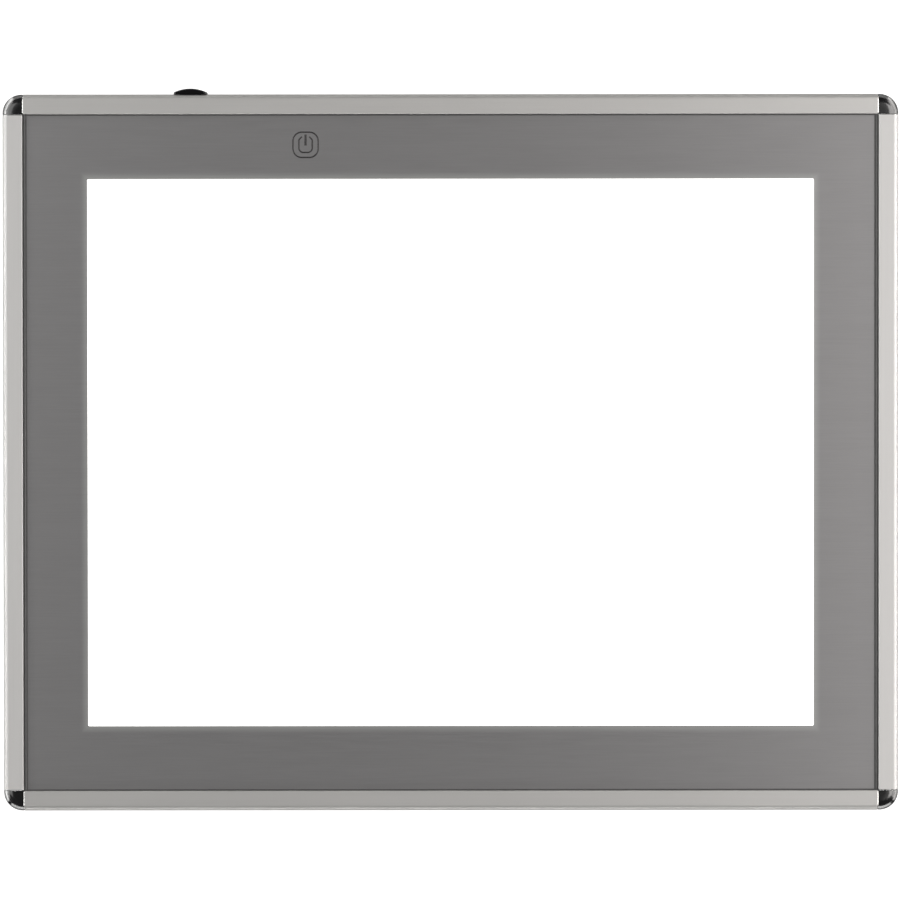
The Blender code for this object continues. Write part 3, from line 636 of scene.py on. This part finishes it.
# %% [markdown]
# ## Geometry Nodes for what follows a path
#
# A rail is one outline pushed along a line, a wire is a circle pushed along a route, and a
# printed line is a flat strip pushed along a drawing. Screws, feet and LEDs are one part put at
# many points. A node tree says each of these once, with its sizes as inputs, and each rail,
# wire, stroke or row only supplies its own numbers.


# %% Helpers that build and run a tree
def new_tree(name, **inputs):
    """A geometry tree with named inputs. An input's kind comes from its default value."""
    kinds = {float: "Float", int: "Int"}
    tree = bpy.data.node_groups.new(name, "GeometryNodeTree")
    tree.interface.new_socket("Geometry", in_out="INPUT", socket_type="NodeSocketGeometry")
    for label, value in inputs.items():
        kind = "NodeSocket" + (value if isinstance(value, str) else kinds[type(value)])
        socket = tree.interface.new_socket(label, in_out="INPUT", socket_type=kind)
        if not isinstance(value, str):
            socket.default_value = value
    tree.interface.new_socket("Geometry", in_out="OUTPUT", socket_type="NodeSocketGeometry")
    return tree, node(tree, "NodeGroupInput").outputs


def finish_tree(tree, geometry, given):
    """Ends a tree: instances become real faces, and they get the material."""
    real = node(tree, "GeometryNodeRealizeInstances", {"Geometry": geometry}).outputs[0]
    dressed = node(
        tree, "GeometryNodeSetMaterial", {"Geometry": real, "Material": given["Material"]}
    )
    node(tree, "NodeGroupOutput", {"Geometry": dressed.outputs[0]})
    print("tree", tree.name, "with", len(tree.nodes), "nodes")


def run_tree(obj, tree, **values):
    """Sets a tree's inputs, by their sockets' identifiers, and keeps the mesh it makes of obj."""
    modifier = obj.modifiers.new(tree.name, "NODES")
    modifier.node_group = tree
    for item in tree.interface.items_tree:
        if item.in_out == "INPUT" and item.name in values:
            modifier[item.identifier] = values[item.name]
    return keep_result(obj)


def line_of(name, points, closed=False, rounds=None):
    """A mesh of edges through points, each with its own radius to be rounded to."""
    mesh = bpy.data.meshes.new(name)
    count = len(points)
    edges = [(i, (i + 1) % count) for i in range(count if closed else count - 1)]
    mesh.from_pydata([Vector(point).to_3d() for point in points], edges, [])
    radii = mesh.attributes.new("round", "FLOAT", "POINT")
    for i in range(count):
        radii.data[i].value = rounds[i] if rounds else 0.0
    return in_scene(name, mesh)


# %% A tree for extrusions
def rounded_line(tree, given, steps):
    """The input's edges as a curve, each corner rounded to its own radius."""
    line = node(tree, "GeometryNodeMeshToCurve", {"Mesh": given["Geometry"]})
    radius = node(tree, "GeometryNodeInputNamedAttribute", {"Name": "round"}, data_type="FLOAT")
    fillet = node(
        tree,
        "GeometryNodeFilletCurve",
        {
            "Curve": line.outputs[0],
            "Radius": radius.outputs[0],
            "Count": steps,
            "Limit Radius": True,
        },
        mode="POLY",
    )
    return fillet.outputs[0]


extrusion, given = new_tree(
    "extrusion", Length=0.1, Break=0.0004, Shrink=0.08, Steps=10, Material="Material"
)
half = node(extrusion, "ShaderNodeMath", {0: given["Length"], 1: 0.5}, operation="MULTIPLY")
minus = node(extrusion, "ShaderNodeMath", {0: half.outputs[0], 1: -1.0}, operation="MULTIPLY")
start = node(extrusion, "ShaderNodeCombineXYZ", {"X": minus.outputs[0]})
end = node(extrusion, "ShaderNodeCombineXYZ", {"X": half.outputs[0]})
axis = node(
    extrusion,
    "GeometryNodeCurvePrimitiveLine",
    {"Start": start.outputs[0], "End": end.outputs[0]},
)
axis = node(extrusion, "GeometryNodeSubdivideCurve", {"Curve": axis.outputs[0], "Cuts": 2})
# the two new points move out to where the break of the sawn edge begins
ends = node(extrusion, "GeometryNodeCurveEndpointSelection")
inner = node(extrusion, "FunctionNodeBooleanMath", {0: ends.outputs[0]}, operation="NOT")
where = node(extrusion, "GeometryNodeInputPosition")
side = node(extrusion, "ShaderNodeVectorMath", {0: where.outputs[0]}, operation="SIGN")
near_end = node(
    extrusion, "ShaderNodeMath", {0: half.outputs[0], 1: given["Break"]}, operation="SUBTRACT"
)
moved = node(
    extrusion,
    "ShaderNodeVectorMath",
    {0: side.outputs[0], "Scale": near_end.outputs[0]},
    operation="SCALE",
)
axis = node(
    extrusion,
    "GeometryNodeSetPosition",
    {"Geometry": axis.outputs[0], "Selection": inner.outputs[0], "Position": moved.outputs[0]},
)
shrink = node(
    extrusion, "ShaderNodeMath", {0: ends.outputs[0], 1: given["Shrink"]}, operation="MULTIPLY"
)
size = node(extrusion, "ShaderNodeMath", {0: 1.0, 1: shrink.outputs[0]}, operation="SUBTRACT")
section = rounded_line(extrusion, given, given["Steps"])
pushed = node(
    extrusion,
    "GeometryNodeCurveToMesh",
    {
        "Curve": axis.outputs[0],
        "Profile Curve": section,
        "Scale": size.outputs[0],
        "Fill Caps": True,
    },
)
finish_tree(extrusion, pushed.outputs[0], given)


# %% Trees for round wires and flat strokes
def push_along(tree, given, outline):
    """Pushes an outline along the input's rounded edges, closes both ends and ends the tree."""
    pushed = node(
        tree,
        "GeometryNodeCurveToMesh",
        {
            "Curve": rounded_line(tree, given, given["Steps"]),
            "Profile Curve": outline.outputs[0],
            "Fill Caps": True,
        },
    )
    finish_tree(tree, pushed.outputs[0], given)


wire_tree, given = new_tree("round_wire", Radius=0.0005, Sides=16, Steps=8, Material="Material")
round_sizes = {"Resolution": given["Sides"], "Radius": given["Radius"]}
push_along(wire_tree, given, node(wire_tree, "GeometryNodeCurvePrimitiveCircle", round_sizes))

stroke_tree, given = new_tree(
    "printed_stroke", Width=0.0005, Thickness=0.00002, Steps=12, Material="Material"
)
flat_sizes = {"Width": given["Width"], "Height": given["Thickness"]}
strip = node(stroke_tree, "GeometryNodeCurvePrimitiveQuadrilateral", flat_sizes)
push_along(stroke_tree, given, strip)

# %% A tree for copies at points
copies_tree, given = new_tree("copies_at_points", Part="Object", Material="Material")
part = node(copies_tree, "GeometryNodeObjectInfo", {"Object": given["Part"]})
turn = node(
    copies_tree, "GeometryNodeInputNamedAttribute", {"Name": "turn"}, data_type="FLOAT_VECTOR"
)
put = node(
    copies_tree,
    "GeometryNodeInstanceOnPoints",
    {"Points": given["Geometry"], "Instance": part.outputs["Geometry"]},
)
copies_tree.links.new(turn.outputs[0], put.inputs["Rotation"])
finish_tree(copies_tree, put.outputs[0], given)


def copies(name, part, places, mat, turns=None):
    """Puts a copy of a part at each place, turned round Z by each turn, and drops the original."""
    obj = line_of(name, places)
    angles = obj.data.attributes.new("turn", "FLOAT_VECTOR", "POINT")
    for i in range(len(places)):
        angles.data[i].vector = (0, 0, turns[i] if turns else 0)
    run_tree(obj, copies_tree, Part=part, Material=mat)
    bpy.data.objects.remove(part)
    return obj


# %% [markdown]
# ## Rails
#
# Each rail is a C-shaped extrusion whose two lips hold the sandwich of panel and cover. The
# outline has a radius for every corner: generous on the outside, a small crisp chamfer where the
# lip meets the panel. The ends are sawn square and butt against the corner caps. A little break
# on each sawn edge, bare of its anodising, catches the light there.

# %% Draw the rail's outline
RAIL_T = rim.z
LIP_T = 1.0 * MM
WALL_T = 1.4 * MM
OUTLINE = [
    # in from the outer face, height, radius of the corner, all in millimetres
    (8.4, 0.0, 0.15),
    (8.4, 1.0, 0.15),
    (1.4, 1.0, 0.4),
    (1.4, 7.0, 0.4),
    (8.4, 7.0, 0.15),
    (8.4, 7.82, 0.06),
    (8.22, 8.0, 0.1),
    (0.0, 8.0, 2.3),
    (0.0, 0.0, 1.5),
]
SCREW_IN = 3.4 * MM
HEAD_R = 1.7 * MM
SCREW_R = 1.0 * MM
SCREW_L = 5.0 * MM
SCREW_SUNK = 0.05 * MM
print("rail outline:", len(OUTLINE), "corners, walls", round(WALL_T / MM, 1), "mm")


def screw_clearance(at):
    """The countersunk hole for a corner screw, from below."""
    shank = SCREW_R + 0.1 * MM
    profile = [(HEAD_R + 0.2 * MM, -0.1 * MM), (shank, 0.7 * MM), (shank, 5.5 * MM)]
    tool = add_object("screw_clearance", turned(profile, 32))
    tool.data.transform(Matrix.Translation(at))
    return tool


# %% Bare the ends of the rails
BREAK = 0.4 * MM  # how far the broken edge reaches along a rail
BARE_ROUGHNESS = 0.2


def bare_ends(mat, axis, lo, hi):
    """Sawn ends are broken after anodising: a ring of bare, brighter metal at both ends."""
    tree, shader = shader_of(mat)
    place = node(tree, "ShaderNodeTexCoord")
    along = node(tree, "ShaderNodeSeparateXYZ", {0: place.outputs["Object"]}).outputs[axis]
    off = node(tree, "ShaderNodeMath", {0: along, 1: (lo + hi) / 2}, operation="SUBTRACT")
    away = node(tree, "ShaderNodeMath", {0: off.outputs[0]}, operation="ABSOLUTE")
    edge = (hi - lo) / 2 - BREAK
    bare = node(tree, "ShaderNodeMath", {0: away.outputs[0], 1: edge}, operation="GREATER_THAN")
    anodised = shader.inputs["Roughness"].links[0].from_socket
    choice = {"Value": bare.outputs[0], "To Min": anodised, "To Max": BARE_ROUGHNESS}
    rough = node(tree, "ShaderNodeMapRange", choice)
    tree.links.new(rough.outputs[0], shader.inputs["Roughness"])


for mat, axis, rail in ((anodised_x, 0, "rail_front"), (anodised_y_painted_lighter, 1, "rail_left")):
    lo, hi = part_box(rail)
    bare_ends(mat, axis, lo[axis], hi[axis])
    print("bare ends of", rail, "from", round((hi[axis] - BREAK) / MM, 2), "mm outward")

# %% Extrude the four rails
inlet_lo, inlet_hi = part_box("jack_bezel")
inlet_x = (inlet_lo.x + inlet_hi.x) / 2
inlet_z = (inlet_lo.z + inlet_hi.z) / 2
NECK = Vector((9.4, 5.4)) * MM  # the slot that the inlet's neck passes through
screw_boxes = [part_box(f"corner_screw_{i}") for i in range(1, 9)]
screw_spots = [Vector(((lo.x + hi.x) / 2, (lo.y + hi.y) / 2, lo.z)) for lo, hi in screw_boxes]
for name, quarter in (("rail_front", 0), ("rail_right", 1), ("rail_rear", 2), ("rail_left", 3)):
    lo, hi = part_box(name)
    along = quarter % 2
    half_depth = (rim.x if along else rim.y) / 2
    outline = [(LIP / 2 - u * MM, RAIL_T / 2 - z * MM) for u, z, _ in OUTLINE]
    rail = line_of(name + "_extrusion", outline, True, [r * MM for *_, r in OUTLINE])
    mat = anodised_y_painted_lighter if along else anodised_x
    run_tree(rail, extrusion, Length=hi[along] - lo[along], Break=BREAK, Steps=10, Material=mat)
    spin = Matrix.Rotation(quarter * math.pi / 2, 4, "Z")
    out = Matrix.Translation((0, LIP / 2 - half_depth, RAIL_T / 2))
    rail.data.transform(Matrix.Translation((middle.x, middle.y, rim_lo.z)) @ spin @ out)
    if name == "rail_rear":
        half = Vector((NECK.x / 2, 3 * WALL_T, NECK.y / 2))
        spot = Vector((inlet_x, rim_hi.y, inlet_z))
        cut(rail, add_object("inlet_slot", block(spot - half, spot + half)))
    for spot in screw_spots:
        if all(lo[i] < spot[i] < hi[i] for i in (0, 1)):
            cut(rail, screw_clearance(spot - Vector((0, 0, SCREW_SUNK))))
    soften(rail, 50)
    settle(rail, "anodised_aluminium", name)

# %% [markdown]
# ## Corner caps
#
# A cap fills the square where two rails would need a mitre. Its top is crowned like a pebble, so
# the lights draw a soft crescent round the corner and the middle stays black. Two tongues
# reach into the hollow rails, and a screw from below pins each one.

# %% Mould the corner caps
CAP_R = 7.9 * MM
CAP_TOP = RAIL_T - 0.3 * MM  # the cap sits a little lower than the rails
CROWN = [
    # millimetres in from the outline, slope in degrees: a steep skirt, a slanted band, a flat top
    (0.0, 84),
    (0.05, 70),
    (0.12, 52),
    (0.22, 40),
    (0.32, 36),
    (1.5, 33),
    (2.1, 27),
    (2.8, 18),
    (3.6, 9),
    (4.6, 3),
    (5.8, 0),
]
SLOPE_STEPS = 4
CAP_FOOT_R = 1.5 * MM
NIP = 0.12 * MM  # off the inner corner, where the gasket turns


def cap_ring(inset, height):
    """The cap's plan, shrunk on its outer side only: it stays square against the rails."""
    ring = [(LIP - NIP, LIP), (inset, LIP)]
    ring += arc((CAP_R, CAP_R), (CAP_R - inset,) * 2, 180, 270, 28)
    ring += [(LIP, inset), (LIP, LIP - NIP)]
    return [(x, y, height) for x, y in ring]


def crown_levels():
    """Inset and height of each ring of the crown, from the skirt up, by adding up the slopes."""
    levels, drop = [(CROWN[-1][0], 0.0)], 0.0
    for (near, steep), (far, flat) in zip(reversed(CROWN[:-1]), reversed(CROWN[1:])):
        step = (far - near) / SLOPE_STEPS
        for i in range(SLOPE_STEPS):
            slope = flat + (steep - flat) * (i + 0.5) / SLOPE_STEPS
            drop += math.tan(math.radians(slope)) * step
            levels.append((far - step * (i + 1), drop))
    return [(inset * MM, CAP_TOP - fall * MM) for inset, fall in reversed(levels)]


def cap_mesh():
    """A cap with its outer corner at the origin and its tongues along +X and +Y."""
    foot = arc((CAP_FOOT_R, CAP_FOOT_R), (CAP_FOOT_R,) * 2, 270, 180, 8)
    cap = add_object("cap", loft([cap_ring(inset, z) for inset, z in foot + crown_levels()]))
    pocket, past = 5.1 * MM, LIP + 0.1 * MM
    cut(cap, add_object("pocket", block((pocket, pocket, LIP_T), (past, past, RAIL_T - LIP_T))))
    near, root = 1.6 * MM, 6.6 * MM
    far, end = near + 3.4 * MM, LIP + 22 * MM
    low, high = 1.2 * MM, RAIL_T - 1.2 * MM
    for lo, hi in (((root, near, low), (end, far, high)), ((near, root, low), (far, end, high))):
        cut(cap, add_object("tongue", block(lo, hi)), "UNION")
    along = LIP + 10 * MM
    for x, y in ((along, SCREW_IN), (SCREW_IN, along)):
        cut(cap, screw_clearance((x, y, 0)))
    soften(cap, 38, 0.1 * MM)
    cap.data.materials.append(cap_plastic)
    return cap


first_cap = cap_mesh()
CORNERS = (
    ("front_left", -1, -1),
    ("front_right", 1, -1),
    ("rear_right", 1, 1),
    ("rear_left", -1, 1),
)
for quarter, (corner, sx, sy) in enumerate(CORNERS):
    cap = in_scene("cap_" + corner, first_cap.data.copy())
    spot = Vector((middle.x + sx * rim.x / 2, middle.y + sy * rim.y / 2, rim_lo.z))
    cap.data.transform(Matrix.Translation(spot) @ Matrix.Rotation(quarter * math.pi / 2, 4, "Z"))
    settle(cap, "cap_plastic", "corner_cap_" + corner)
bpy.data.objects.remove(first_cap)

# %% [markdown]
# ## Screws and feet
#
# Eight countersunk screws and four rubber feet are each one part repeated, so one is modelled
# and a node tree puts copies at the places that the mechanical model gives. The screw is turned
# from a profile, with a cross recess cut in its head, and its head is down: it is driven from
# below.

# %% Make one screw and copy it to the eight places
screw_profile = [
    (HEAD_R - 0.1 * MM, 0.0),
    (HEAD_R, 0.06 * MM),
    (HEAD_R, 0.16 * MM),
    (SCREW_R, 0.8 * MM),
]
THREAD = 0.4 * MM
turns_of_thread = int((SCREW_L - 1.6 * MM) / THREAD)
for i in range(turns_of_thread):
    z = 1.0 * MM + i * THREAD
    screw_profile += [(SCREW_R, z), (SCREW_R - 0.18 * MM, z + THREAD / 2)]
screw_profile += [(SCREW_R * 0.9, SCREW_L - 0.5 * MM), (SCREW_R * 0.4, SCREW_L)]
screw = add_object("corner_screw", turned(screw_profile, 32))
ARM, ARM_HALF, RECESS = 0.95, 0.2, 0.65  # reach, half width and depth of the cross, in mm
for reach_x, reach_y in ((ARM, ARM_HALF), (ARM_HALF, ARM)):
    reach = Vector((reach_x, reach_y, 0)) * MM
    arm = block(Vector((0, 0, -0.1 * MM)) - reach, Vector((0, 0, RECESS * MM)) + reach)
    cut(screw, add_object("recess_arm", arm))
soften(screw, 35, 0.03 * MM, 1)
screws = copies("corner_screws", screw, screw_spots, screw_steel)
settle(screws, "screw_steel", *(f"corner_screw_{i}" for i in range(1, 9)))

# %% Make one foot and copy it to the four places
FEET = [f"foot_{corner}" for corner, *_ in CORNERS]
foot_boxes = [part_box(name) for name in FEET]
foot_lo, foot_hi = foot_boxes[0]
FOOT_R, foot_height = (foot_hi.x - foot_lo.x) / 2, foot_hi.z - foot_lo.z
FOOT_ROUND = 0.5 * MM
edge = arc((FOOT_R - FOOT_ROUND, FOOT_ROUND), (FOOT_ROUND,) * 2, -90, 0, 6)
dish = [(0.5 * MM, 0.25 * MM), (FOOT_R - 2.2 * MM, 0.25 * MM), (FOOT_R - 2.0 * MM, 0.05 * MM)]
foot_profile = dish + [(FOOT_R - 1.6 * MM, 0.0)] + edge + [(FOOT_R, foot_height - 0.1 * MM)]
foot_profile += [(FOOT_R - 0.1 * MM, foot_height)]
foot = add_object("foot", turned(foot_profile, 64))
soften(foot, 40)
foot_spots = [Vector(((lo.x + hi.x) / 2, (lo.y + hi.y) / 2, lo.z)) for lo, hi in foot_boxes]
settle(copies("rubber_feet", foot, foot_spots, foot_rubber), "black_rubber", *FEET)

# %% [markdown]
# ## Gasket
#
# A soft rubber bead fills the line between rail and film and keeps dust out. It is one closed
# loop with a half-round top and a low groove on each side of it, wide along the side rails and
# thin along the front and rear, so its section is stretched differently on the four sides and
# mitred at the corners.

# %% Lay the rubber bead
bead_lo, bead_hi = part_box("panel_gasket")
SIDE_BEAD, END_BEAD = 1.65 * MM, 0.5 * MM
GROOVE = 0.31  # share of the width that lies low on each side of the bead
round_top = [math.pi * i / 12 for i in range(13)]
crown = [(0.0, 0.0)]
crown += [(0.5 - (0.5 - GROOVE) * math.cos(a), math.sin(a) ** 0.5) for a in round_top]
crown += [(1.0, 0.0)]
bead_rings = []
for _, sx, sy in CORNERS:
    ring = []
    for across, up in crown:
        x = bead_hi.x - across * SIDE_BEAD if sx > 0 else bead_lo.x + across * SIDE_BEAD
        y = bead_hi.y - across * END_BEAD if sy > 0 else bead_lo.y + across * END_BEAD
        z = bead_lo.z + (bead_hi.z - bead_lo.z) * (0.15 + 0.85 * up)
        ring.append((x, y, z))
    ring += [(ring[-1][0], ring[-1][1], bead_lo.z), (ring[0][0], ring[0][1], bead_lo.z)]
    bead_rings.append(ring)
bead = add_object("gasket_bead", loft(bead_rings, closed=True))
bead.data.materials.append(rubber)
soften(bead, 60)
settle(bead, "black_rubber", "panel_gasket")

# %% [markdown]
# ## Touch key print
#
# The key has no moving part: a dark symbol is printed on the film, and the copper disc under the
# panel feels a finger through it. The symbol is three strokes, a rounded square, a horseshoe and
# a bar, so each is a line with rounded corners that a tree widens into a flat ribbon.

# %% Print the power symbol
key_lo, key_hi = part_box("touch_electrode")
key = (key_lo + key_hi) / 2
INK = 0.02 * MM
SOAK = 0.005 * MM  # how deep the ink goes into the film
ink_z = film_hi.z + INK / 2 - SOAK
SQUARE, SHOE = 5.27, 2.8  # half widths in millimetres
STROKES = {
    # name: points as (x, y, corner radius) round the key's middle, closed, width; millimetres
    "square": (
        [
            (-SQUARE, -SQUARE, 3.65),
            (SQUARE, -SQUARE, 3.65),
            (SQUARE, SQUARE, 3.65),
            (-SQUARE, SQUARE, 3.65),
        ],
        True,
        0.6,
    ),
    "horseshoe": (
        [
            (-1.55, 3.4, 0),
            (-SHOE, 2.1, 0.8),
            (-SHOE, -3.2, 1.9),
            (SHOE, -3.2, 1.9),
            (SHOE, 2.1, 0.8),
            (1.55, 3.4, 0),
        ],
        False,
        0.6,
    ),
    "bar": ([(0, 4.3, 0), (0, -0.3, 0)], False, 1.0),
}
for name, (points, closed, width) in STROKES.items():
    spots = [(key.x + x * MM, key.y + y * MM, ink_z) for x, y, _ in points]
    stroke = line_of("key_print_" + name, spots, closed, [r * MM for *_, r in points])
    run_tree(stroke, stroke_tree, Width=width * MM, Thickness=INK, Steps=14, Material=print_ink)
    settle(stroke, "label_film")

# %% [markdown]
# ## Power inlet
#
# The inlet's bezel is a glossy black lens on the rear rail, with a bore for a round plug. Its
# plan is one arc on a short straight skirt, and its long edges are rounded over, so it is lofted
# from plans that shrink towards the top and the underside. The bore gets a polished lead-in.

# %% Mould the inlet's bezel
BORE_R = 2.1 * MM
SKIRT = 0.7 * MM
INLET_ROUND = 1.1 * MM
HAIR = 0.1 * MM  # the boss starts this far off the rail
rear_face = rim_hi.y
proud = inlet_hi.y - rear_face - HAIR
inlet_size = inlet_hi - inlet_lo


def lens_plan(inset, z):
    """The boss seen from above, shrunk by inset, starting a hair off the rail."""
    half = inlet_size.x / 2 - inset
    rise = proud - SKIRT - inset
    ball = (half**2 + rise**2) / (2 * rise)
    spread = math.degrees(math.asin(half / ball))
    curve = arc((0, SKIRT + rise - ball), (ball, ball), 90 - spread, 90 + spread, 48)
    return [(x, y, z) for x, y in [(-half, 0), (half, 0), *curve]]


low = arc((INLET_ROUND, INLET_ROUND), (INLET_ROUND,) * 2, 270, 180, 10)
levels = low + [(inset, inlet_size.z - z) for inset, z in reversed(low)]
boss = add_object("inlet_boss", loft([lens_plan(inset, z) for inset, z in levels]))
boss.data.transform(Matrix.Translation((inlet_x, rear_face + HAIR, inlet_lo.z)))
soften(boss, 40, 0.45 * MM, 6)


def along_y(profile, start, sides=48):
    """A turned shape on the inlet's axis, its height running along +Y from start."""
    shape = turned(profile, sides)
    to_axis = Matrix.Translation((inlet_x, start, inlet_z)) @ Matrix.Rotation(-math.pi / 2, 4, "X")
    bmesh.ops.transform(shape, matrix=to_axis, verts=shape.verts)
    return add_object("on_inlet_axis", shape)


NECK_X, NECK_Z = 4.5 * MM, 2.5 * MM  # half the neck, clear of its slot by 0.2 mm
neck_lo = (inlet_x - NECK_X, rear_face - 1.6 * MM, inlet_z - NECK_Z)
neck_hi = (inlet_x + NECK_X, rear_face + 0.3 * MM, inlet_z + NECK_Z)
cut(boss, add_object("neck", block(neck_lo, neck_hi)), "UNION")
mouth = proud + HAIR
bore = [(BORE_R, -3 * MM), (BORE_R, mouth - 0.3 * MM), (BORE_R + 0.5 * MM, mouth + 0.2 * MM)]
cut(boss, along_y(bore, rear_face))
boss.data.materials.append(inlet_plastic)
soften(boss, 40, 0.06 * MM)
settle(boss, "inlet_plastic", "jack_bezel")

# %% Turn the centre pin
pin_lo, pin_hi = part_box("jack_pin")
PIN_R = 0.65 * MM
pin_length = pin_hi.y - pin_lo.y
nose = arc((0, pin_length - 0.6 * MM), (PIN_R, 0.6 * MM), 0, 80, 8)
pin = along_y([(PIN_R * 0.8, 0), (PIN_R, 0.1 * MM), *nose], pin_lo.y, 32)
pin.name = "inlet_centre_pin"
pin.data.materials.append(nickel)
soften(pin, 40)
settle(pin, "nickel_plated_brass", "jack_pin")

# %% [markdown]
# ## Inside: LED strips, leads and the touch spring
#
# None of this shows on a closed pad, but it is what makes the pad shine. Each strip carries 24
# LEDs, so one LED is made of a white case and a yellow phosphor window, and copies are put along
# the strip. The leads and the touch spring are wires, so they use the wire tree.


# %% Fill the LED strips
def led_row(strip_name, side):
    """The board, cases and phosphor windows of one strip. side is the way it faces, along Y."""
    lo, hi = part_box(strip_name)
    count, board_t, led = 24, 1.0 * MM, Vector((3.0, 0.7, 1.4)) * MM
    front = lo.y if side < 0 else hi.y
    board_lo, board_hi = lo.copy(), hi.copy()
    if side < 0:
        board_lo.y = hi.y - board_t
    else:
        board_hi.y = lo.y + board_t
    board = add_object(strip_name + "_board", block(board_lo, board_hi))
    board.data.materials.append(strip_white)
    soften(board, 40, 0.05 * MM)
    settle(board, "led_board", strip_name)
    case = block((-led.x / 2, 0.02 * MM, -led.z / 2), (led.x / 2, led.y, led.z / 2))
    case = add_object("case", case)
    well = block((-led.x * 0.4, -led.y, -led.z * 0.32), (led.x * 0.4, 0.2 * MM, led.z * 0.32))
    cut(case, add_object("well", well))
    soften(case, 40, 0.06 * MM, 1)
    gel = block((-led.x * 0.39, 0.1 * MM, -led.z * 0.31), (led.x * 0.39, 0.25 * MM, led.z * 0.31))
    gel = soften(add_object("gel", gel), 40, 0.03 * MM, 1)
    pitch = (hi.x - lo.x) / count
    z = (lo.z + hi.z) / 2
    spots = [Vector((lo.x + (i + 0.5) * pitch, front, z)) for i in range(count)]
    turns = [math.pi if side > 0 else 0.0] * count
    settle(copies(strip_name + "_cases", case, spots, led_case, turns), "led_board")
    settle(copies(strip_name + "_phosphor", gel, spots, phosphor, turns), "led_board")


led_row("led_strip_rear", -1)
led_row("led_strip_front", 1)

# %% Run the leads
WIRE_R = 0.5 * MM
BEND = 1.5 * MM
TURN_IN = -151.6 * MM  # the X where the front lead turns in to its strip
wire_z = (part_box("wire_led_front")[0].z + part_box("wire_led_front")[1].z) / 2
strip_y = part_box("led_strip_front")[0].y
LEADS = {
    # name: radius of its bends, sleeve, slot
    "wire_led_front": (BEND, white_pvc, "white_wire"),
    "wire_led_rear": (BEND, white_pvc, "white_wire"),
    "wire_power_red": (BEND / 2, red_pvc, "red_wire"),
    "wire_power_black": (BEND / 2, black_pvc, "black_wire"),
}
for name, (bend, mat, slot_name) in LEADS.items():
    lo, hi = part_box(name)
    left, front, rear = lo.x + WIRE_R, lo.y + WIRE_R, hi.y - WIRE_R
    if name == "wire_led_front":
        corners = [(hi.x, rear), (left, rear), (left, front), (TURN_IN, front), (TURN_IN, strip_y)]
    elif name == "wire_led_rear":
        corners = [(hi.x, rear), (left, rear), (left, lo.y)]
    else:
        corners = [(left, hi.y), (left, front), (hi.x, front)]
    spots = [(x, y, wire_z) for x, y in corners]
    lead = line_of(name + "_lead", spots, False, [bend] * len(spots))
    run_tree(lead, wire_tree, Radius=WIRE_R, Material=mat)
    lead.data.shade_smooth()
    lead.data.set_sharp_from_angle(angle=math.radians(50))
    settle(lead, slot_name, name)

# %% Wind the touch spring
coil_lo, coil_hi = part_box("touch_spring")
COIL_WIRE_R = 0.15 * MM
COIL_TURNS = 2.5
POINTS_PER_TURN = 40
coil_r = (coil_hi.x - coil_lo.x) / 2 - COIL_WIRE_R
coil_middle = (coil_lo + coil_hi) / 2
steps = int(COIL_TURNS * POINTS_PER_TURN)
climb = coil_hi.z - coil_lo.z - 2 * COIL_WIRE_R
coil = []
for i in range(steps + 1):
    angle = 2 * math.pi * COIL_TURNS * i / steps
    x, y = coil_r * math.cos(angle), coil_r * math.sin(angle)
    coil.append((coil_middle.x + x, coil_middle.y + y, coil_lo.z + COIL_WIRE_R + climb * i / steps))
spring = line_of("touch_coil", coil)
run_tree(spring, wire_tree, Radius=COIL_WIRE_R, Sides=12, Steps=1, Material=bronze)
spring.data.shade_smooth()
settle(spring, "phosphor_bronze", "touch_spring")

# %% [markdown]
# ## Print both boxes
#
# The dressed model is built to stay inside the mechanical one, and both boxes are printed side
# by side. The dressed model must stay inside the mechanical one.

# %% Print both boxes
final_bounds = [list(corner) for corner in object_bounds()]
for label, corners in (("mechanical", cad_bounds), ("visual", final_bounds)):
    print(label, [[round(v / MM, 2) for v in corner] for corner in corners])
